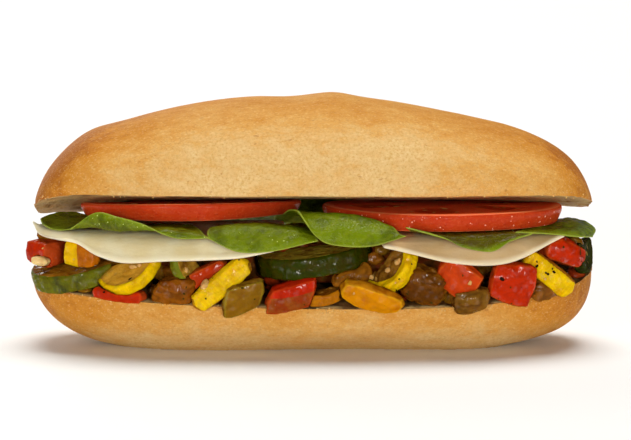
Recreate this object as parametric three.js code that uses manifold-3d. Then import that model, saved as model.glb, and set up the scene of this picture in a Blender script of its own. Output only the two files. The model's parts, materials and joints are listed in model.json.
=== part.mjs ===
// A submarine sandwich: a short bread roll cut through, filled with roasted vegetables, sliced cheese,
// spinach leaves and tomato slices. Millimetres, +Z up, X along the roll, -Y towards the open, fuller side.
import * as THREE from "three";
import { mergeVertices } from "three/addons/utils/BufferGeometryUtils.js";
import Module from "manifold-3d";

const wasm = await Module();
wasm.setup();
const { Manifold, Mesh } = wasm;

// Driving dimensions of the roll: an eight inch roll, opened by its filling.
const HALF_LENGTH = 100;
const UPPER_REACH = 99.4; // the upper half's own, slightly shorter half length
const LEFT_PULL = 1; // how much shorter still the upper half's left tip is
const HALF_WIDTH = 39;
const CROWN_TOP = 88.8; // the top of the upper half over the table
const UPPER_TIP = 48.8; // height of the upper half's two tips
const LOWER_TIP = 26.6; // height of the lower half's two tips
const BASE_SINK = 2.2; // how far the round of the lower half would reach below the table

// Thicknesses, and the gap that touching pieces keep.
const TOMATO_THICK = 6;
const CHEESE_THICK = 1.8;
const LEAF_THICK = 0.7;
const GAP = 0.3;

const MATERIALS = {
  crust: { color: 0xd9a862, roughness: 0.8 },
  tomato: { color: 0xb8402a, roughness: 0.3 },
  cheese: { color: 0xe3d3a8, roughness: 0.45 },
  spinach: { color: 0x5f7414, roughness: 0.4 },
  zucchini: { color: 0x3a3a0c, roughness: 0.35 },
  squash: { color: 0xd0a01c, roughness: 0.35 },
  red_pepper: { color: 0xb53a16, roughness: 0.25 },
  orange_pepper: { color: 0xc98310, roughness: 0.25 },
  green_pepper: { color: 0x7d6a1a, roughness: 0.3 },
  eggplant: { color: 0x6b441a, roughness: 0.3 },
  onion: { color: 0x8d6126, roughness: 0.25 },
  garlic: { color: 0xc9a468, roughness: 0.45 },
  roasted_mix: { color: 0x5a3a18, roughness: 0.4 },
};

const clamp01 = (t) => Math.min(1, Math.max(0, t));
const bell = (t, at, wide) => Math.exp(-(((t - at) / wide) ** 2));
const signedPower = (value, power) => Math.sign(value) * Math.abs(value) ** power;

// A seeded random number generator, so that every run gives the same sandwich.
function seeded(seed) {
  let state = seed;
  return () => {
    state = (state * 1664525 + 1013904223) % 4294967296;
    return state / 4294967296;
  };
}

// Geometry and solids

function closed(geometry) {
  geometry.deleteAttribute("normal");
  geometry.deleteAttribute("uv");
  return mergeVertices(geometry, 1e-4);
}

function solidOf(geometry) {
  const merged = closed(geometry.clone());
  return new Manifold(
    new Mesh({
      numProp: 3,
      vertProperties: new Float32Array(merged.attributes.position.array),
      triVerts: new Uint32Array(merged.index.array),
    }),
  );
}

function geometryOf(solid) {
  const mesh = solid.getMesh();
  const geometry = new THREE.BufferGeometry();
  geometry.setAttribute("position", new THREE.BufferAttribute(mesh.vertProperties, 3));
  geometry.setIndex(new THREE.BufferAttribute(mesh.triVerts, 1));
  geometry.computeVertexNormals();
  return geometry;
}

function fromTriangles(points, triangles) {
  const geometry = new THREE.BufferGeometry();
  geometry.setAttribute("position", new THREE.Float32BufferAttribute(points.flat(), 3));
  geometry.setIndex(triangles.flat());
  return geometry;
}

// A closed body from rings of equal length, with a tip point before the first and after the last ring.
function loft(rings, firstTip, lastTip) {
  const around = rings[0].length;
  const points = [firstTip, ...rings.flat(), lastTip];
  const last = points.length - 1;
  const at = (ring, step) => 1 + ring * around + (step % around);
  const triangles = [];
  for (let step = 0; step < around; step += 1) {
    triangles.push([0, at(0, step), at(0, step + 1)]);
    triangles.push([last, at(rings.length - 1, step + 1), at(rings.length - 1, step)]);
    for (let ring = 0; ring + 1 < rings.length; ring += 1) {
      triangles.push([at(ring, step), at(ring + 1, step), at(ring + 1, step + 1)]);
      triangles.push([at(ring, step), at(ring + 1, step + 1), at(ring, step + 1)]);
    }
  }
  return fromTriangles(points, triangles);
}

// The roll

// Half the roll's width, seen from above, at x.
function halfWidth(x) {
  return HALF_WIDTH * (1 - Math.abs(x / HALF_LENGTH) ** 2.5) ** 0.4;
}

// The cut face of the upper half: it leans back, lies highest over the tomato and droops at the left tip.
function upperCut(x, y) {
  const t = x / HALF_LENGTH;
  const droop = (t < 0 ? 3.2 : 1.2) * Math.abs(t) ** 9;
  const lean = 0.1 + (t < 0 ? 0.17 : 0.13) * t ** 4;
  return 50.2 + 0.8 * (1 - t * t) - lean * y + 0.0006 * y * y - droop;
}

// The cut face of the lower half: it rises to the back and to both tips.
function lowerCut(x, y) {
  const t = x / HALF_LENGTH;
  return LOWER_TIP - 1.2 * t + 3 * t ** 5 + 0.2 * y - 0.0011 * y * y;
}

// The crown line of the upper half: a full arch with the flats and dents of a hand-shaped loaf.
function crown(x) {
  const t = x / HALF_LENGTH;
  const arch = (CROWN_TOP - UPPER_TIP) * (1 - t * t) ** (t < 0 ? 0.475 : 0.44) * (1 - 0.35 * t ** 40);
  const bumps = 2 * bell(t, -0.8, 0.1) + 0.9 * bell(t, 0.08, 0.07);
  const dents = 2 * bell(t, 0.48, 0.27) + 0.8 * bell(t, -0.09, 0.09);
  return UPPER_TIP + arch + bumps - dents;
}

// The keel line of the lower half, blunt at both ends.
function keel(x) {
  const t = x / HALF_LENGTH;
  const depth = t < 0 ? (1 - t ** 6) ** 0.52 : (1 - t ** 6) ** 0.42;
  return LOWER_TIP - (LOWER_TIP + BASE_SINK) * depth + bell(t, 0.76, 0.14);
}

// Shallow swells of the crust, in millimetres.
function swell(x, y, z) {
  const long = Math.sin(0.055 * x + 0.9) * Math.sin(0.09 * y - 0.05 * z + 0.4);
  const short = Math.sin(0.13 * x - 0.07 * z + 2.1) * Math.sin(0.15 * y + 0.12 * z);
  return 0.7 * long + 0.35 * short;
}

const CUT_STEPS = 5;
const CRUST_STEPS = 15;
const STATIONS = 31;

// The x of each ring of a half, closer together towards the tips.
function stations(reach, count = STATIONS) {
  return Array.from({ length: count - 1 }, (_, i) => {
    return reach * Math.sin((Math.PI / 2) * ((2 * (i + 1)) / count - 1));
  });
}

// One ring of a half: across its cut face, then round its crust. side is 1 for the upper half and
// -1 for the lower, fullness the power of its rounded section.
function bunRing(x, cut, outer, fullness, side) {
  const wide = halfWidth(x);
  const ring = [];
  for (let i = 0; i < CUT_STEPS; i += 1) {
    const y = side * wide * (1 - (2 * i) / CUT_STEPS);
    ring.push([x, y, cut(x, y)]);
  }
  for (let i = 0; i < CRUST_STEPS; i += 1) {
    const angle = (Math.PI * i) / CRUST_STEPS;
    const y = -side * wide * signedPower(Math.cos(angle), 2 / fullness);
    const height = Math.sin(angle) ** (2 / fullness);
    const z = cut(x, y) * (1 - height) + outer(x) * height;
    const push = swell(x, y, z) * Math.sin(2 * angle) * (1 - (x / HALF_LENGTH) ** 4);
    ring.push([x, y, Math.max(0, z + push)]);
  }
  return ring;
}

// pull shortens the left tip.
function bunHalf(reach, cut, outer, fullness, side, pull = 0) {
  const shorten = ([x, y, z]) => [x < 0 ? x + pull * (x / reach) ** 8 : x, y, z];
  const rings = stations(reach).map((x) => bunRing(x, cut, outer, fullness, side).map(shorten));
  return loft(rings, shorten([-reach, 0, cut(-reach, 0)]), [reach, 0, cut(reach, 0)]);
}

// Tomato slices

const TOMATOES = {
  tomato_left: {
    at: [-43.7, 0.5],
    radius: 39.3,
    under: (x, y) => 44.35 + 0.0012 * (x + 43.7) ** 2 + 0.012 * (x + 43.7) - 0.078 * y,
    thick: (x) => TOMATO_THICK - 0.0012 * (x + 43.7) ** 2,
  },
  tomato_right: {
    at: [46.5, 0],
    radius: 42.6,
    under: (x, y) => 44 - 0.035 * (y + Math.hypot(y, 10)),
    thick: () => TOMATO_THICK,
  },
};
const TOMATO_SIDES = 28;

// A round slice, slightly lobed, its skin rounded and narrower below. spare makes it larger all round.
function tomatoSlice({ at, radius, under, thick }, spare = 0) {
  const rows = [
    { out: 0.55, up: 0 },
    { out: 0.925, up: 0 },
    { out: 0.975, up: 0.28 },
    { out: 1, up: 0.72 },
    { out: 0.98, up: 1 },
    { out: 0.55, up: 1 },
  ];
  const point = (out, up, angle) => {
    const lobes = 1 + 0.012 * Math.cos(5 * angle + at[0]) + 0.008 * Math.cos(3 * angle + 1);
    const reach = (radius * lobes + spare) * out;
    const [x, y] = [at[0] + reach * Math.cos(angle), at[1] + reach * Math.sin(angle)];
    return [x, y, under(x, y) + thick(x, y) * up + spare * (2 * up - 1)];
  };
  const rings = rows.map(({ out, up }) =>
    Array.from({ length: TOMATO_SIDES }, (_, i) => point(out, up, (-2 * Math.PI * i) / TOMATO_SIDES)),
  );
  return loft(rings, point(0, 0, 0), point(0, 1, 0));
}

// Cheese and leaves: thin sheets through rows of points

// A sheet through a grid of points, as a solid of even thickness with both faces split alike.
// spare makes it larger all round.
function sheet(rows, { thick, along, across, ruffle }, spare = 0) {
  const curves = rows.map((row) => {
    return new THREE.CatmullRomCurve3(row.map((p) => new THREE.Vector3(...p)), false, "catmullrom", 0.5);
  });
  const surface = (u, v) => {
    const lane = curves.map((curve) => curve.getPoint(u));
    const point = new THREE.CatmullRomCurve3(lane, false, "catmullrom", 0.5).getPoint(v);
    point.z += ruffle(u, v);
    return point;
  };
  const step = 0.01;
  const points = [[], []];
  for (let i = 0; i <= along; i += 1) {
    for (let j = 0; j <= across; j += 1) {
      const [u, v] = [i / along, j / across];
      const du = surface(clamp01(u + step), v).sub(surface(clamp01(u - step), v));
      const dv = surface(u, clamp01(v + step)).sub(surface(u, clamp01(v - step)));
      const normal = dv.clone().cross(du).normalize();
      const middle = surface(u, v);
      if (i % along === 0) middle.addScaledVector(du.normalize(), i === 0 ? -spare : spare);
      if (j % across === 0) middle.addScaledVector(dv.normalize(), j === 0 ? -spare : spare);
      points[0].push(middle.clone().addScaledVector(normal, thick / 2 + spare).toArray());
      points[1].push(middle.clone().addScaledVector(normal, -thick / 2 - spare).toArray());
    }
  }
  const count = points[0].length;
  const at = (i, j) => i * (across + 1) + j;
  const triangles = [];
  const quad = (a, b, c, d) => triangles.push([a, b, c], [a, c, d]);
  for (let i = 0; i < along; i += 1) {
    for (let j = 0; j < across; j += 1) {
      const [a, b, c, d] = [at(i, j), at(i, j + 1), at(i + 1, j + 1), at(i + 1, j)];
      quad(a, b, c, d);
      triangles.push([count + a, count + c, count + b], [count + a, count + d, count + c]);
    }
  }
  const rim = [];
  for (let i = 0; i < along; i += 1) rim.push(at(i, 0));
  for (let j = 0; j < across; j += 1) rim.push(at(along, j));
  for (let i = along; i > 0; i -= 1) rim.push(at(i, across));
  for (let j = across; j > 0; j -= 1) rim.push(at(0, j));
  rim.forEach((a, k) => {
    const b = rim[(k + 1) % rim.length];
    quad(a, b, count + b, count + a);
  });
  return fromTriangles([...points[0], ...points[1]], triangles);
}

const CHEESES = {
  cheese_left: [
    [[-72, 33, 39.2], [-58, 36, 38.5], [-42, 37, 38.2], [-26, 36, 38.4], [-12, 34, 38.8]],
    [[-93, 8, 41.8], [-68, 6, 41.5], [-48, 6, 41.5], [-28, 6, 41.5], [-10, 6, 41.5]],
    [
      [-97, -6, 42.2], [-88, -18, 41.4], [-73, -26, 41.7],
      [-57, -31, 41.8], [-34, -33, 41.7], [-12, -33, 41.4],
    ],
    [
      [-99.2, -5, 43.4], [-95.8, -14, 39.8], [-88.6, -23, 39.1], [-81.6, -29, 38.6], [-74, -34, 35],
      [-64.5, -38, 33.2], [-50, -41, 34.2], [-36, -42, 34.5], [-24, -43, 35.3], [-13, -43, 37.4],
    ],
  ],
  cheese_right: [
    [[14, 35, 38.4], [34, 37, 37.8], [54, 36, 37.8], [72, 32, 38.6]],
    [[18, 6, 41.5], [42, 6, 41.5], [64, 6, 41.5], [88, 4, 41.6]],
    [[22, -33, 41.4], [44, -34, 41.3], [64, -32, 41.3], [86, -20, 41.5]],
    [[24.7, -43, 39.2], [47, -43.5, 33.8], [68, -40.5, 33.7], [88, -28, 41.2]],
  ],
};

const LEAVES = {
  leaf_tip_left: [
    [[-95, -8, 45.4], [-90.5, -3, 46.6], [-84.5, -3, 46.6], [-78, -8, 45.5]],
    [[-95.9, -11, 45], [-91.5, -12, 44.6], [-84, -15, 44.4], [-76, -18, 44.6]],
    [[-94.9, -15, 43.7], [-90.8, -19.5, 42.4], [-85, -24, 42.8], [-77, -27, 45.6]],
  ],
  leaf_left: [
    [
      [-80, -18, 43.4], [-72, -19, 44.2], [-65, -20, 44.1], [-57, -20, 44.1], [-49, -20, 44.1],
      [-42, -22, 44.2],
    ],
    [
      [-82.5, -24, 43.2], [-75.5, -29, 44.4], [-68, -31, 44.4], [-59, -32, 44.6], [-49, -34, 45],
      [-39, -36, 44.6],
    ],
    [
      [-83.6, -27, 43.2], [-76.2, -34, 46.2], [-68.6, -38, 44.6], [-59, -39.5, 44.4], [-49, -42.5, 44.6],
      [-36.5, -43, 43.2],
    ],
    [
      [-84, -28.4, 43.4], [-74.6, -35, 50], [-66.5, -39, 49], [-58, -41, 46.8], [-47, -44.5, 42.4],
      [-34.6, -44, 42.2],
    ],
  ],
  leaf_middle: [
    [[-33, -24, 43.8], [-22, -22, 43.9], [-10, -22, 43.8], [5, -26, 42.8]],
    [[-35, -38, 45], [-25, -38, 46.4], [-13, -38, 46.2], [2, -39, 43.4]],
    [[-35.8, -42.4, 43.8], [-25.5, -44, 43.2], [-14, -44, 43], [2, -43.4, 42]],
    [[-35.2, -44, 42], [-25.5, -46, 37.8], [-13.5, -46, 37.9], [2.2, -44.6, 41.4]],
  ],
  leaf_curl: [
    [[-10, -26, 48.6], [-2, -27, 47.6], [8, -28, 44.4], [18, -32, 43.6], [27, -34, 43.5]],
    [[-8, -34, 50.8], [-2.4, -36, 50], [8, -37, 50], [18, -38.6, 48.8], [28, -41, 45.6]],
    [[-5.4, -40, 51.4], [-0.6, -43.4, 47], [8.4, -44.6, 45.4], [18.6, -44.6, 44.6], [30, -43.8, 43.8]],
    [[-3.8, -43, 50.2], [2.4, -46, 42.2], [9.4, -47, 39.9], [20.6, -47, 39.8], [32.4, -44.4, 43]],
  ],
  leaf_hanging: [
    [[36, -26, 43.3], [46, -24, 43.3], [57, -24, 43.3], [70, -24, 43.3]],
    [[34, -40, 44.2], [45, -41, 43.2], [57, -40, 43.1], [70, -35, 43.2]],
    [[32.6, -43, 45.3], [44.6, -43.8, 42.8], [57.6, -43, 40.2], [73, -37, 42.6]],
    [
      [32, -43.6, 45.9], [39, -44.2, 44.1], [46, -44.2, 42], [52, -44.2, 39],
      [61.5, -43.2, 37.5], [68, -40.2, 40.6], [76, -37, 43],
    ],
  ],
  leaf_tip_right: [
    [[76, -14, 43.3], [84, -4, 43.4], [92, 3, 43.8], [98, 2, 42.8]],
    [[73, -28, 43.2], [83, -18, 43.4], [92.5, -10, 43.2], [101, -3, 40.6]],
    [[70, -37, 43.4], [82, -33, 42.4], [92.6, -25, 40.4], [99, -13, 38.9]],
  ],
  leaf_back_left: [
    [[-66, 19, 42], [-50, 19, 42], [-32, 19, 42.1], [-12, 20, 43.2]],
    [[-68, 29, 41], [-53, 35, 40.6], [-33, 36, 40.8], [-13, 32, 43.8]],
    [[-65, 35, 39.2], [-53, 41, 38], [-33, 43, 37.2], [-14, 40.6, 37.6]],
  ],
  leaf_back_middle: [
    [[-11, 21, 44.6], [-3, 18, 44.4], [6, 18, 43.8], [14, 22, 43.4]],
    [[-15, 32, 47.2], [-5, 31, 48], [6, 31, 48], [17, 32, 46]],
    [[-18, 39.4, 43], [-5, 41.4, 44.4], [5, 41.4, 44], [16, 39.6, 42.4]],
    [[-17, 43, 37], [-4, 45.4, 37], [4, 45.4, 37.2], [14, 43, 38.4]],
  ],
  leaf_back_right: [
    [[26, 19, 42.3], [40, 19, 42.3], [54, 19, 42.3], [66, 18, 42.4]],
    [[24, 33, 40.7], [40, 36, 40], [55, 35, 40.1], [70, 28, 41]],
    [[25, 38, 39.8], [40, 42, 38.6], [57, 40, 38.2], [72, 31.5, 39.6]],
  ],
};

const LEAF = {
  thick: LEAF_THICK,
  along: 10,
  across: 5,
  ruffle: (u, v) => 0.4 * Math.sin(9 * u + 1.2) * Math.sin(Math.PI * v) * v * v,
};
const CHEESE = {
  thick: CHEESE_THICK,
  along: 12,
  across: 6,
  ruffle: (u, v) => 0.35 * Math.sin(8 * u) * v ** 3,
};

// Vegetable pieces, each built about the origin

// A sector of a round slice lying flat, its skin towards -Y, with rounded edges.
// open is the sector's angle.
function halfMoon({ radius, thick, open = Math.PI }) {
  const arcSteps = 8;
  const shape = new THREE.Shape();
  for (let i = 0; i <= arcSteps; i += 1) {
    const angle = -Math.PI / 2 - open / 2 + (open * i) / arcSteps;
    const [x, y] = [radius * Math.cos(angle), radius * Math.sin(angle)];
    if (i === 0) shape.moveTo(x, y);
    else shape.lineTo(x, y);
  }
  if (open < Math.PI) shape.lineTo(0, 0);
  const edge = Math.min(1, thick / 5);
  const geometry = new THREE.ExtrudeGeometry(shape, {
    depth: thick - 2 * edge,
    bevelEnabled: true,
    bevelThickness: edge,
    bevelSize: edge,
    bevelOffset: -edge,
    bevelSegments: 1,
    steps: 1,
  });
  geometry.center();
  return geometry;
}

// A cut block, rounded like a superellipsoid. taper narrows it towards +X, skew slants it,
// bow bends it along X.
function block({ size, steps = [4, 2, 2], round = 6, taper = 0, skew = 0, bow = 0 }) {
  const geometry = new THREE.BoxGeometry(2, 2, 2, ...steps);
  const position = geometry.attributes.position;
  for (let i = 0; i < position.count; i += 1) {
    const unit = [position.getX(i), position.getY(i), position.getZ(i)];
    const spread = unit.reduce((sum, c) => sum + Math.abs(c) ** round, 0) ** (1 / round);
    const [a, b, c] = unit.map((value) => value / Math.max(1, spread));
    const narrow = 1 - taper * a;
    const x = (size[0] / 2) * (a + skew * c);
    const y = (size[1] / 2) * b * (0.5 + 0.5 * narrow) + bow * a * a;
    position.setXYZ(i, x, y, (size[2] / 2) * c * narrow);
  }
  return geometry;
}

// Each piece: its kind, material, centre, and turns in degrees about X, then Y, then Z.
// They come in the order in which they keep their shape: a later one gives way to an earlier one.
const FRONT = [
  [
    "garlic_left", "garlic", block, { size: [7, 4, 3.6], steps: [2, 2, 2], round: 4 },
    [-95.2, -17.5, 31.1], [0, 4, -20],
  ],
  [
    "squash_strip_left", "squash", block, { size: [25, 6, 8], bow: 1 },
    [-31, -38.7, 25.7], [10, -40, 0],
  ],
  [
    "squash_strip_right", "squash", block, { size: [23.5, 5.4, 7.6], bow: 0.5 },
    [82, -28.6, 28.3], [12, 38, 20],
  ],
  [
    "red_pepper_right", "red_pepper", block, { size: [17, 5, 15], taper: -0.15, bow: 1 },
    [69.4, -33.4, 25.3], [8, 12, 12],
  ],
  [
    "red_pepper_middle", "red_pepper", block, { size: [16, 6, 12.4], bow: 1 },
    [50.6, -36.7, 27.6], [14, 36, 0],
  ],
  [
    "red_pepper_low", "red_pepper", block, { size: [18, 8, 10], taper: -0.1, skew: 0.3, bow: 1 },
    [-7.4, -37.9, 21.6], [14, -14, 0],
  ],
  [
    "green_pepper_low", "green_pepper", block, { size: [15, 5, 10.5], taper: 0.1, skew: 0.3, bow: 1 },
    [-23.6, -40.1, 21.2], [16, -18, 4],
  ],
  [
    "orange_pepper_low", "orange_pepper", block, { size: [23.5, 6, 8.8], taper: 0.12, bow: 2 },
    [20.8, -38.9, 21], [24, 16, 0],
  ],
  [
    "squash_half_left", "squash", halfMoon, { radius: 13, thick: 5.4 },
    [-63.5, -32, 27.3], [48, -20, -20],
  ],
  [
    "squash_half_middle", "squash", halfMoon, { radius: 12, thick: 6.4 },
    [28.8, -35.7, 29.4], [48, -48, -10],
  ],
  [
    "zucchini_left", "zucchini", halfMoon, { radius: 21, thick: 7, open: 2.6 },
    [-83.6, -19.4, 26.4], [16, -7, -30],
  ],
  [
    "zucchini_middle", "zucchini", halfMoon, { radius: 20.4, thick: 8 },
    [0.6, -33, 32.7], [6, -8, 0],
  ],
  [
    "red_pepper_end_right", "red_pepper", block, { size: [20, 10, 9], round: 4, taper: 0.15 },
    [87, -21.5, 35.3], [10, 20, 34],
  ],
  [
    "red_pepper_end_left", "red_pepper", block, { size: [14, 12, 9], taper: -0.15 },
    [-93.6, -11.5, 33.4], [0, 4, -50],
  ],
  [
    "squash_end_left", "squash", block, { size: [14, 6, 10], steps: [3, 2, 3] },
    [-80, -25.6, 34.6], [0, 4, -30],
  ],
  [
    "eggplant_low", "eggplant", block, { size: [13, 9, 8.4], round: 5, taper: 0.1 },
    [54.8, -35.3, 20.1], [8, -8, 0],
  ],
  [
    "eggplant_middle", "eggplant", block, { size: [16, 11, 12.6], round: 4 },
    [38.8, -34.4, 24.9], [10, 20, 0],
  ],
  [
    "onion_left", "onion", block, { size: [14, 5, 11], taper: -0.2, skew: 0.2 },
    [-47.8, -35.2, 22.6], [14, 6, 0],
  ],
  [
    "zucchini_small", "zucchini", halfMoon, { radius: 10, thick: 5 },
    [-43.6, -34.4, 30.6], [52, 62, 0],
  ],
  [
    "red_pepper_strip", "red_pepper", block, { size: [22, 6, 6.4], bow: 1 },
    [-38.6, -35.6, 27.5], [10, -28, -6],
  ],
  [
    "red_pepper_bottom", "red_pepper", block, { size: [20, 7, 5], bow: 1 },
    [-67, -31, 21.1], [0, 6, -16],
  ],
  ["squash_half_low", "squash", halfMoon, { radius: 9, thick: 5 }, [3.6, -36.4, 20.8], [16, -8, 0]],
  ["onion_middle", "onion", block, { size: [14, 6, 7] }, [14, -33.4, 27.6], [0, -24, 10]],
  [
    "eggplant_end_right", "eggplant", block, { size: [12, 9, 8], round: 5 },
    [80.4, -25.4, 22.4], [0, -14, 28],
  ],
  [
    "zucchini_end_right", "zucchini", halfMoon, { radius: 12, thick: 5 },
    [95.4, -12, 31.6], [80, 0, 74],
  ],
  [
    "eggplant_right", "eggplant", block, { size: [9, 8, 7], steps: [2, 2, 2], round: 4 },
    [74, -28.5, 34.8], [0, 20, 20],
  ],
  [
    "onion_end_left", "onion", block, { size: [10, 8, 4], steps: [2, 2, 2], round: 4 },
    [-92, -9, 39.4], [0, -8, -40],
  ],
];

// The far side and the far ends show a lower, even row of the same pieces, set out by a rule.
const BACK_KINDS = [
  ["zucchini", halfMoon, { radius: 12, thick: 5 }],
  ["red_pepper", block, { size: [15, 10, 5], bow: 1 }],
  ["squash", halfMoon, { radius: 11, thick: 5 }],
  ["eggplant", block, { size: [12, 11, 6.4], round: 5 }],
  ["orange_pepper", block, { size: [15, 9, 5], bow: 1 }],
];
const BACK_COUNT = 11;
const BACK_ARC = 150; // degrees of the roll's outline that the row takes

function backRow() {
  const random = seeded(11);
  return Array.from({ length: BACK_COUNT }, (_, i) => {
    const [material, maker, sizes] = BACK_KINDS[i % BACK_KINDS.length];
    const angle = THREE.MathUtils.degToRad(90 - BACK_ARC / 2 + (BACK_ARC * i) / (BACK_COUNT - 1));
    const x = 0.93 * HALF_LENGTH * signedPower(Math.cos(angle), 0.82);
    const y = Math.max(2, halfWidth(x) - 5.5);
    const outwards = THREE.MathUtils.radToDeg(Math.atan2(HALF_WIDTH * Math.sin(angle), x * 0.25)) - 90;
    const z = (lowerCut(x, y) + 38.6) / 2 + random();
    const turns = [8 - 16 * random(), 10 - 20 * random(), 180 + outwards + 16 * random()];
    return [`${material}_back_${i + 1}`, material, maker, sizes, [x, y, z], turns];
  });
}

function placement(at, turns) {
  const [x, y, z] = turns.map(THREE.MathUtils.degToRad);
  const turn = new THREE.Quaternion().setFromEuler(new THREE.Euler(x, y, z, "ZYX"));
  return new THREE.Matrix4().compose(new THREE.Vector3(...at), turn, new THREE.Vector3(1, 1, 1));
}

// A shape in its place, and the same shape grown by the gap all round, which cuts its neighbours.
function placed(shape, at, turns) {
  const matrix = placement(at, turns);
  const bounds = new THREE.Box3().setFromBufferAttribute(shape.attributes.position);
  const size = bounds.getSize(new THREE.Vector3());
  const [x, y, z] = size.toArray().map((length) => 1 + (2 * GAP) / length);
  const grown = shape.clone().scale(x, y, z);
  return {
    solid: solidOf(shape.applyMatrix4(matrix)),
    cutter: solidOf(grown.applyMatrix4(matrix)),
  };
}

// The heap's hidden middle, which carries the cheese.
const CORE_INSET = 9;
const CORE_RINGS = 10;
const CORE_SIDES = 10;
const CORE_TOP = 40.2;

function heapCore() {
  const rings = [];
  for (const x of stations(HALF_LENGTH - 2 * CORE_INSET, CORE_RINGS)) {
    const wide = halfWidth(x) - CORE_INSET;
    const ring = [];
    for (let i = 0; i < CORE_SIDES; i += 1) {
      const angle = (2 * Math.PI * i) / CORE_SIDES;
      const y = -wide * signedPower(Math.cos(angle), 0.6);
      const low = lowerCut(x, y) + GAP;
      const high = CORE_TOP - 0.0017 * Math.max(0, y) ** 2;
      const share = 0.5 + 0.5 * signedPower(Math.sin(angle), 0.6);
      ring.push([x, y, low + (high - low) * share]);
    }
    rings.push(ring);
  }
  const middle = (ring) => [ring[0][0], 0, 34];
  return loft(rings, middle(rings[0]), middle(rings.at(-1)));
}

// Fitting the pieces together

function overlaps(a, b) {
  const [p, q] = [a.boundingBox(), b.boundingBox()];
  return [0, 1, 2].every((axis) => p.min[axis] < q.max[axis] && q.min[axis] < p.max[axis]);
}

// The largest body left of a solid once the cutters that reach it have been taken away.
function trimmed(solid, cutters, tolerance = 0.08) {
  const near = cutters.filter((cutter) => overlaps(solid, cutter));
  if (near.length === 0) return solid;
  const rest = near.reduce((left, cutter) => left.subtract(cutter), solid);
  const bodies = rest.simplify(tolerance).decompose();
  return bodies.reduce((most, body) => (body.volume() > most.volume() ? body : most));
}

// A half of the roll, moved off its cut face by the gap and made a little wider, as a cutter.
function bunCutter(geometry, lift) {
  const grown = geometry.clone().scale(1 + GAP / HALF_LENGTH, 1 + GAP / HALF_WIDTH, 1);
  return solidOf(grown.translate(0, 0, lift));
}

const sandwich = new THREE.Group();

function add(name, material, solid) {
  const looks = new THREE.MeshStandardMaterial({ ...MATERIALS[material], metalness: 0 });
  const mesh = new THREE.Mesh(geometryOf(solid), looks);
  mesh.name = name;
  sandwich.add(mesh);
}

const upper = bunHalf(UPPER_REACH, upperCut, crown, 2.3, 1, LEFT_PULL);
const lower = bunHalf(HALF_LENGTH, lowerCut, keel, 2.6, -1);
add("bun_upper", "crust", solidOf(upper));
add("bun_lower", "crust", solidOf(lower));
const bunCutters = [bunCutter(upper, -GAP), bunCutter(lower, GAP)];

const tomatoCutters = [];
for (const [name, slice] of Object.entries(TOMATOES)) {
  add(name, "tomato", trimmed(solidOf(tomatoSlice(slice)), bunCutters));
  tomatoCutters.push(solidOf(tomatoSlice(slice, GAP)));
}

const leafCutters = [];
for (const [name, rows] of Object.entries(LEAVES)) {
  const leaf = solidOf(sheet(rows, LEAF));
  add(name, "spinach", trimmed(leaf, [...bunCutters, ...tomatoCutters, ...leafCutters]));
  leafCutters.push(solidOf(sheet(rows, LEAF, GAP)));
}

// Nothing of the heap shows above the cheese: a slab of this height on its underside cuts it off.
const LID = 20;
const cheeseCutters = [];
for (const [name, rows] of Object.entries(CHEESES)) {
  const cheese = solidOf(sheet(rows, CHEESE));
  add(name, "cheese", trimmed(cheese, [...bunCutters, ...tomatoCutters, ...leafCutters]));
  const lid = rows.map((row) => row.map(([x, y, z]) => [x, y, z + (LID - CHEESE_THICK) / 2]));
  cheeseCutters.push(solidOf(sheet(rows, CHEESE, GAP)));
  cheeseCutters.push(solidOf(sheet(lid, { ...CHEESE, thick: LID }, GAP)));
}

const taken = [...bunCutters, ...cheeseCutters, ...leafCutters, ...tomatoCutters];
for (const [name, material, maker, sizes, at, turns] of [...FRONT, ...backRow()]) {
  const { solid, cutter } = placed(maker(sizes), at, turns);
  add(name, material, trimmed(solid, taken));
  taken.push(cutter);
}
add("vegetable_core", "roasted_mix", trimmed(solidOf(heapCore()), taken, 0.2));

// The origin is on the table, under the middle of the sandwich.
const box = new THREE.Box3().setFromObject(sandwich);
const middle = box.getCenter(new THREE.Vector3());
sandwich.position.set(-middle.x, -middle.y, -box.min.z);

export default sandwich;
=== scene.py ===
import json
import math
import random

import bpy
import numpy as np
from mathutils import Euler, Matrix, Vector
from mathutils.bvhtree import BVHTree

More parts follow.
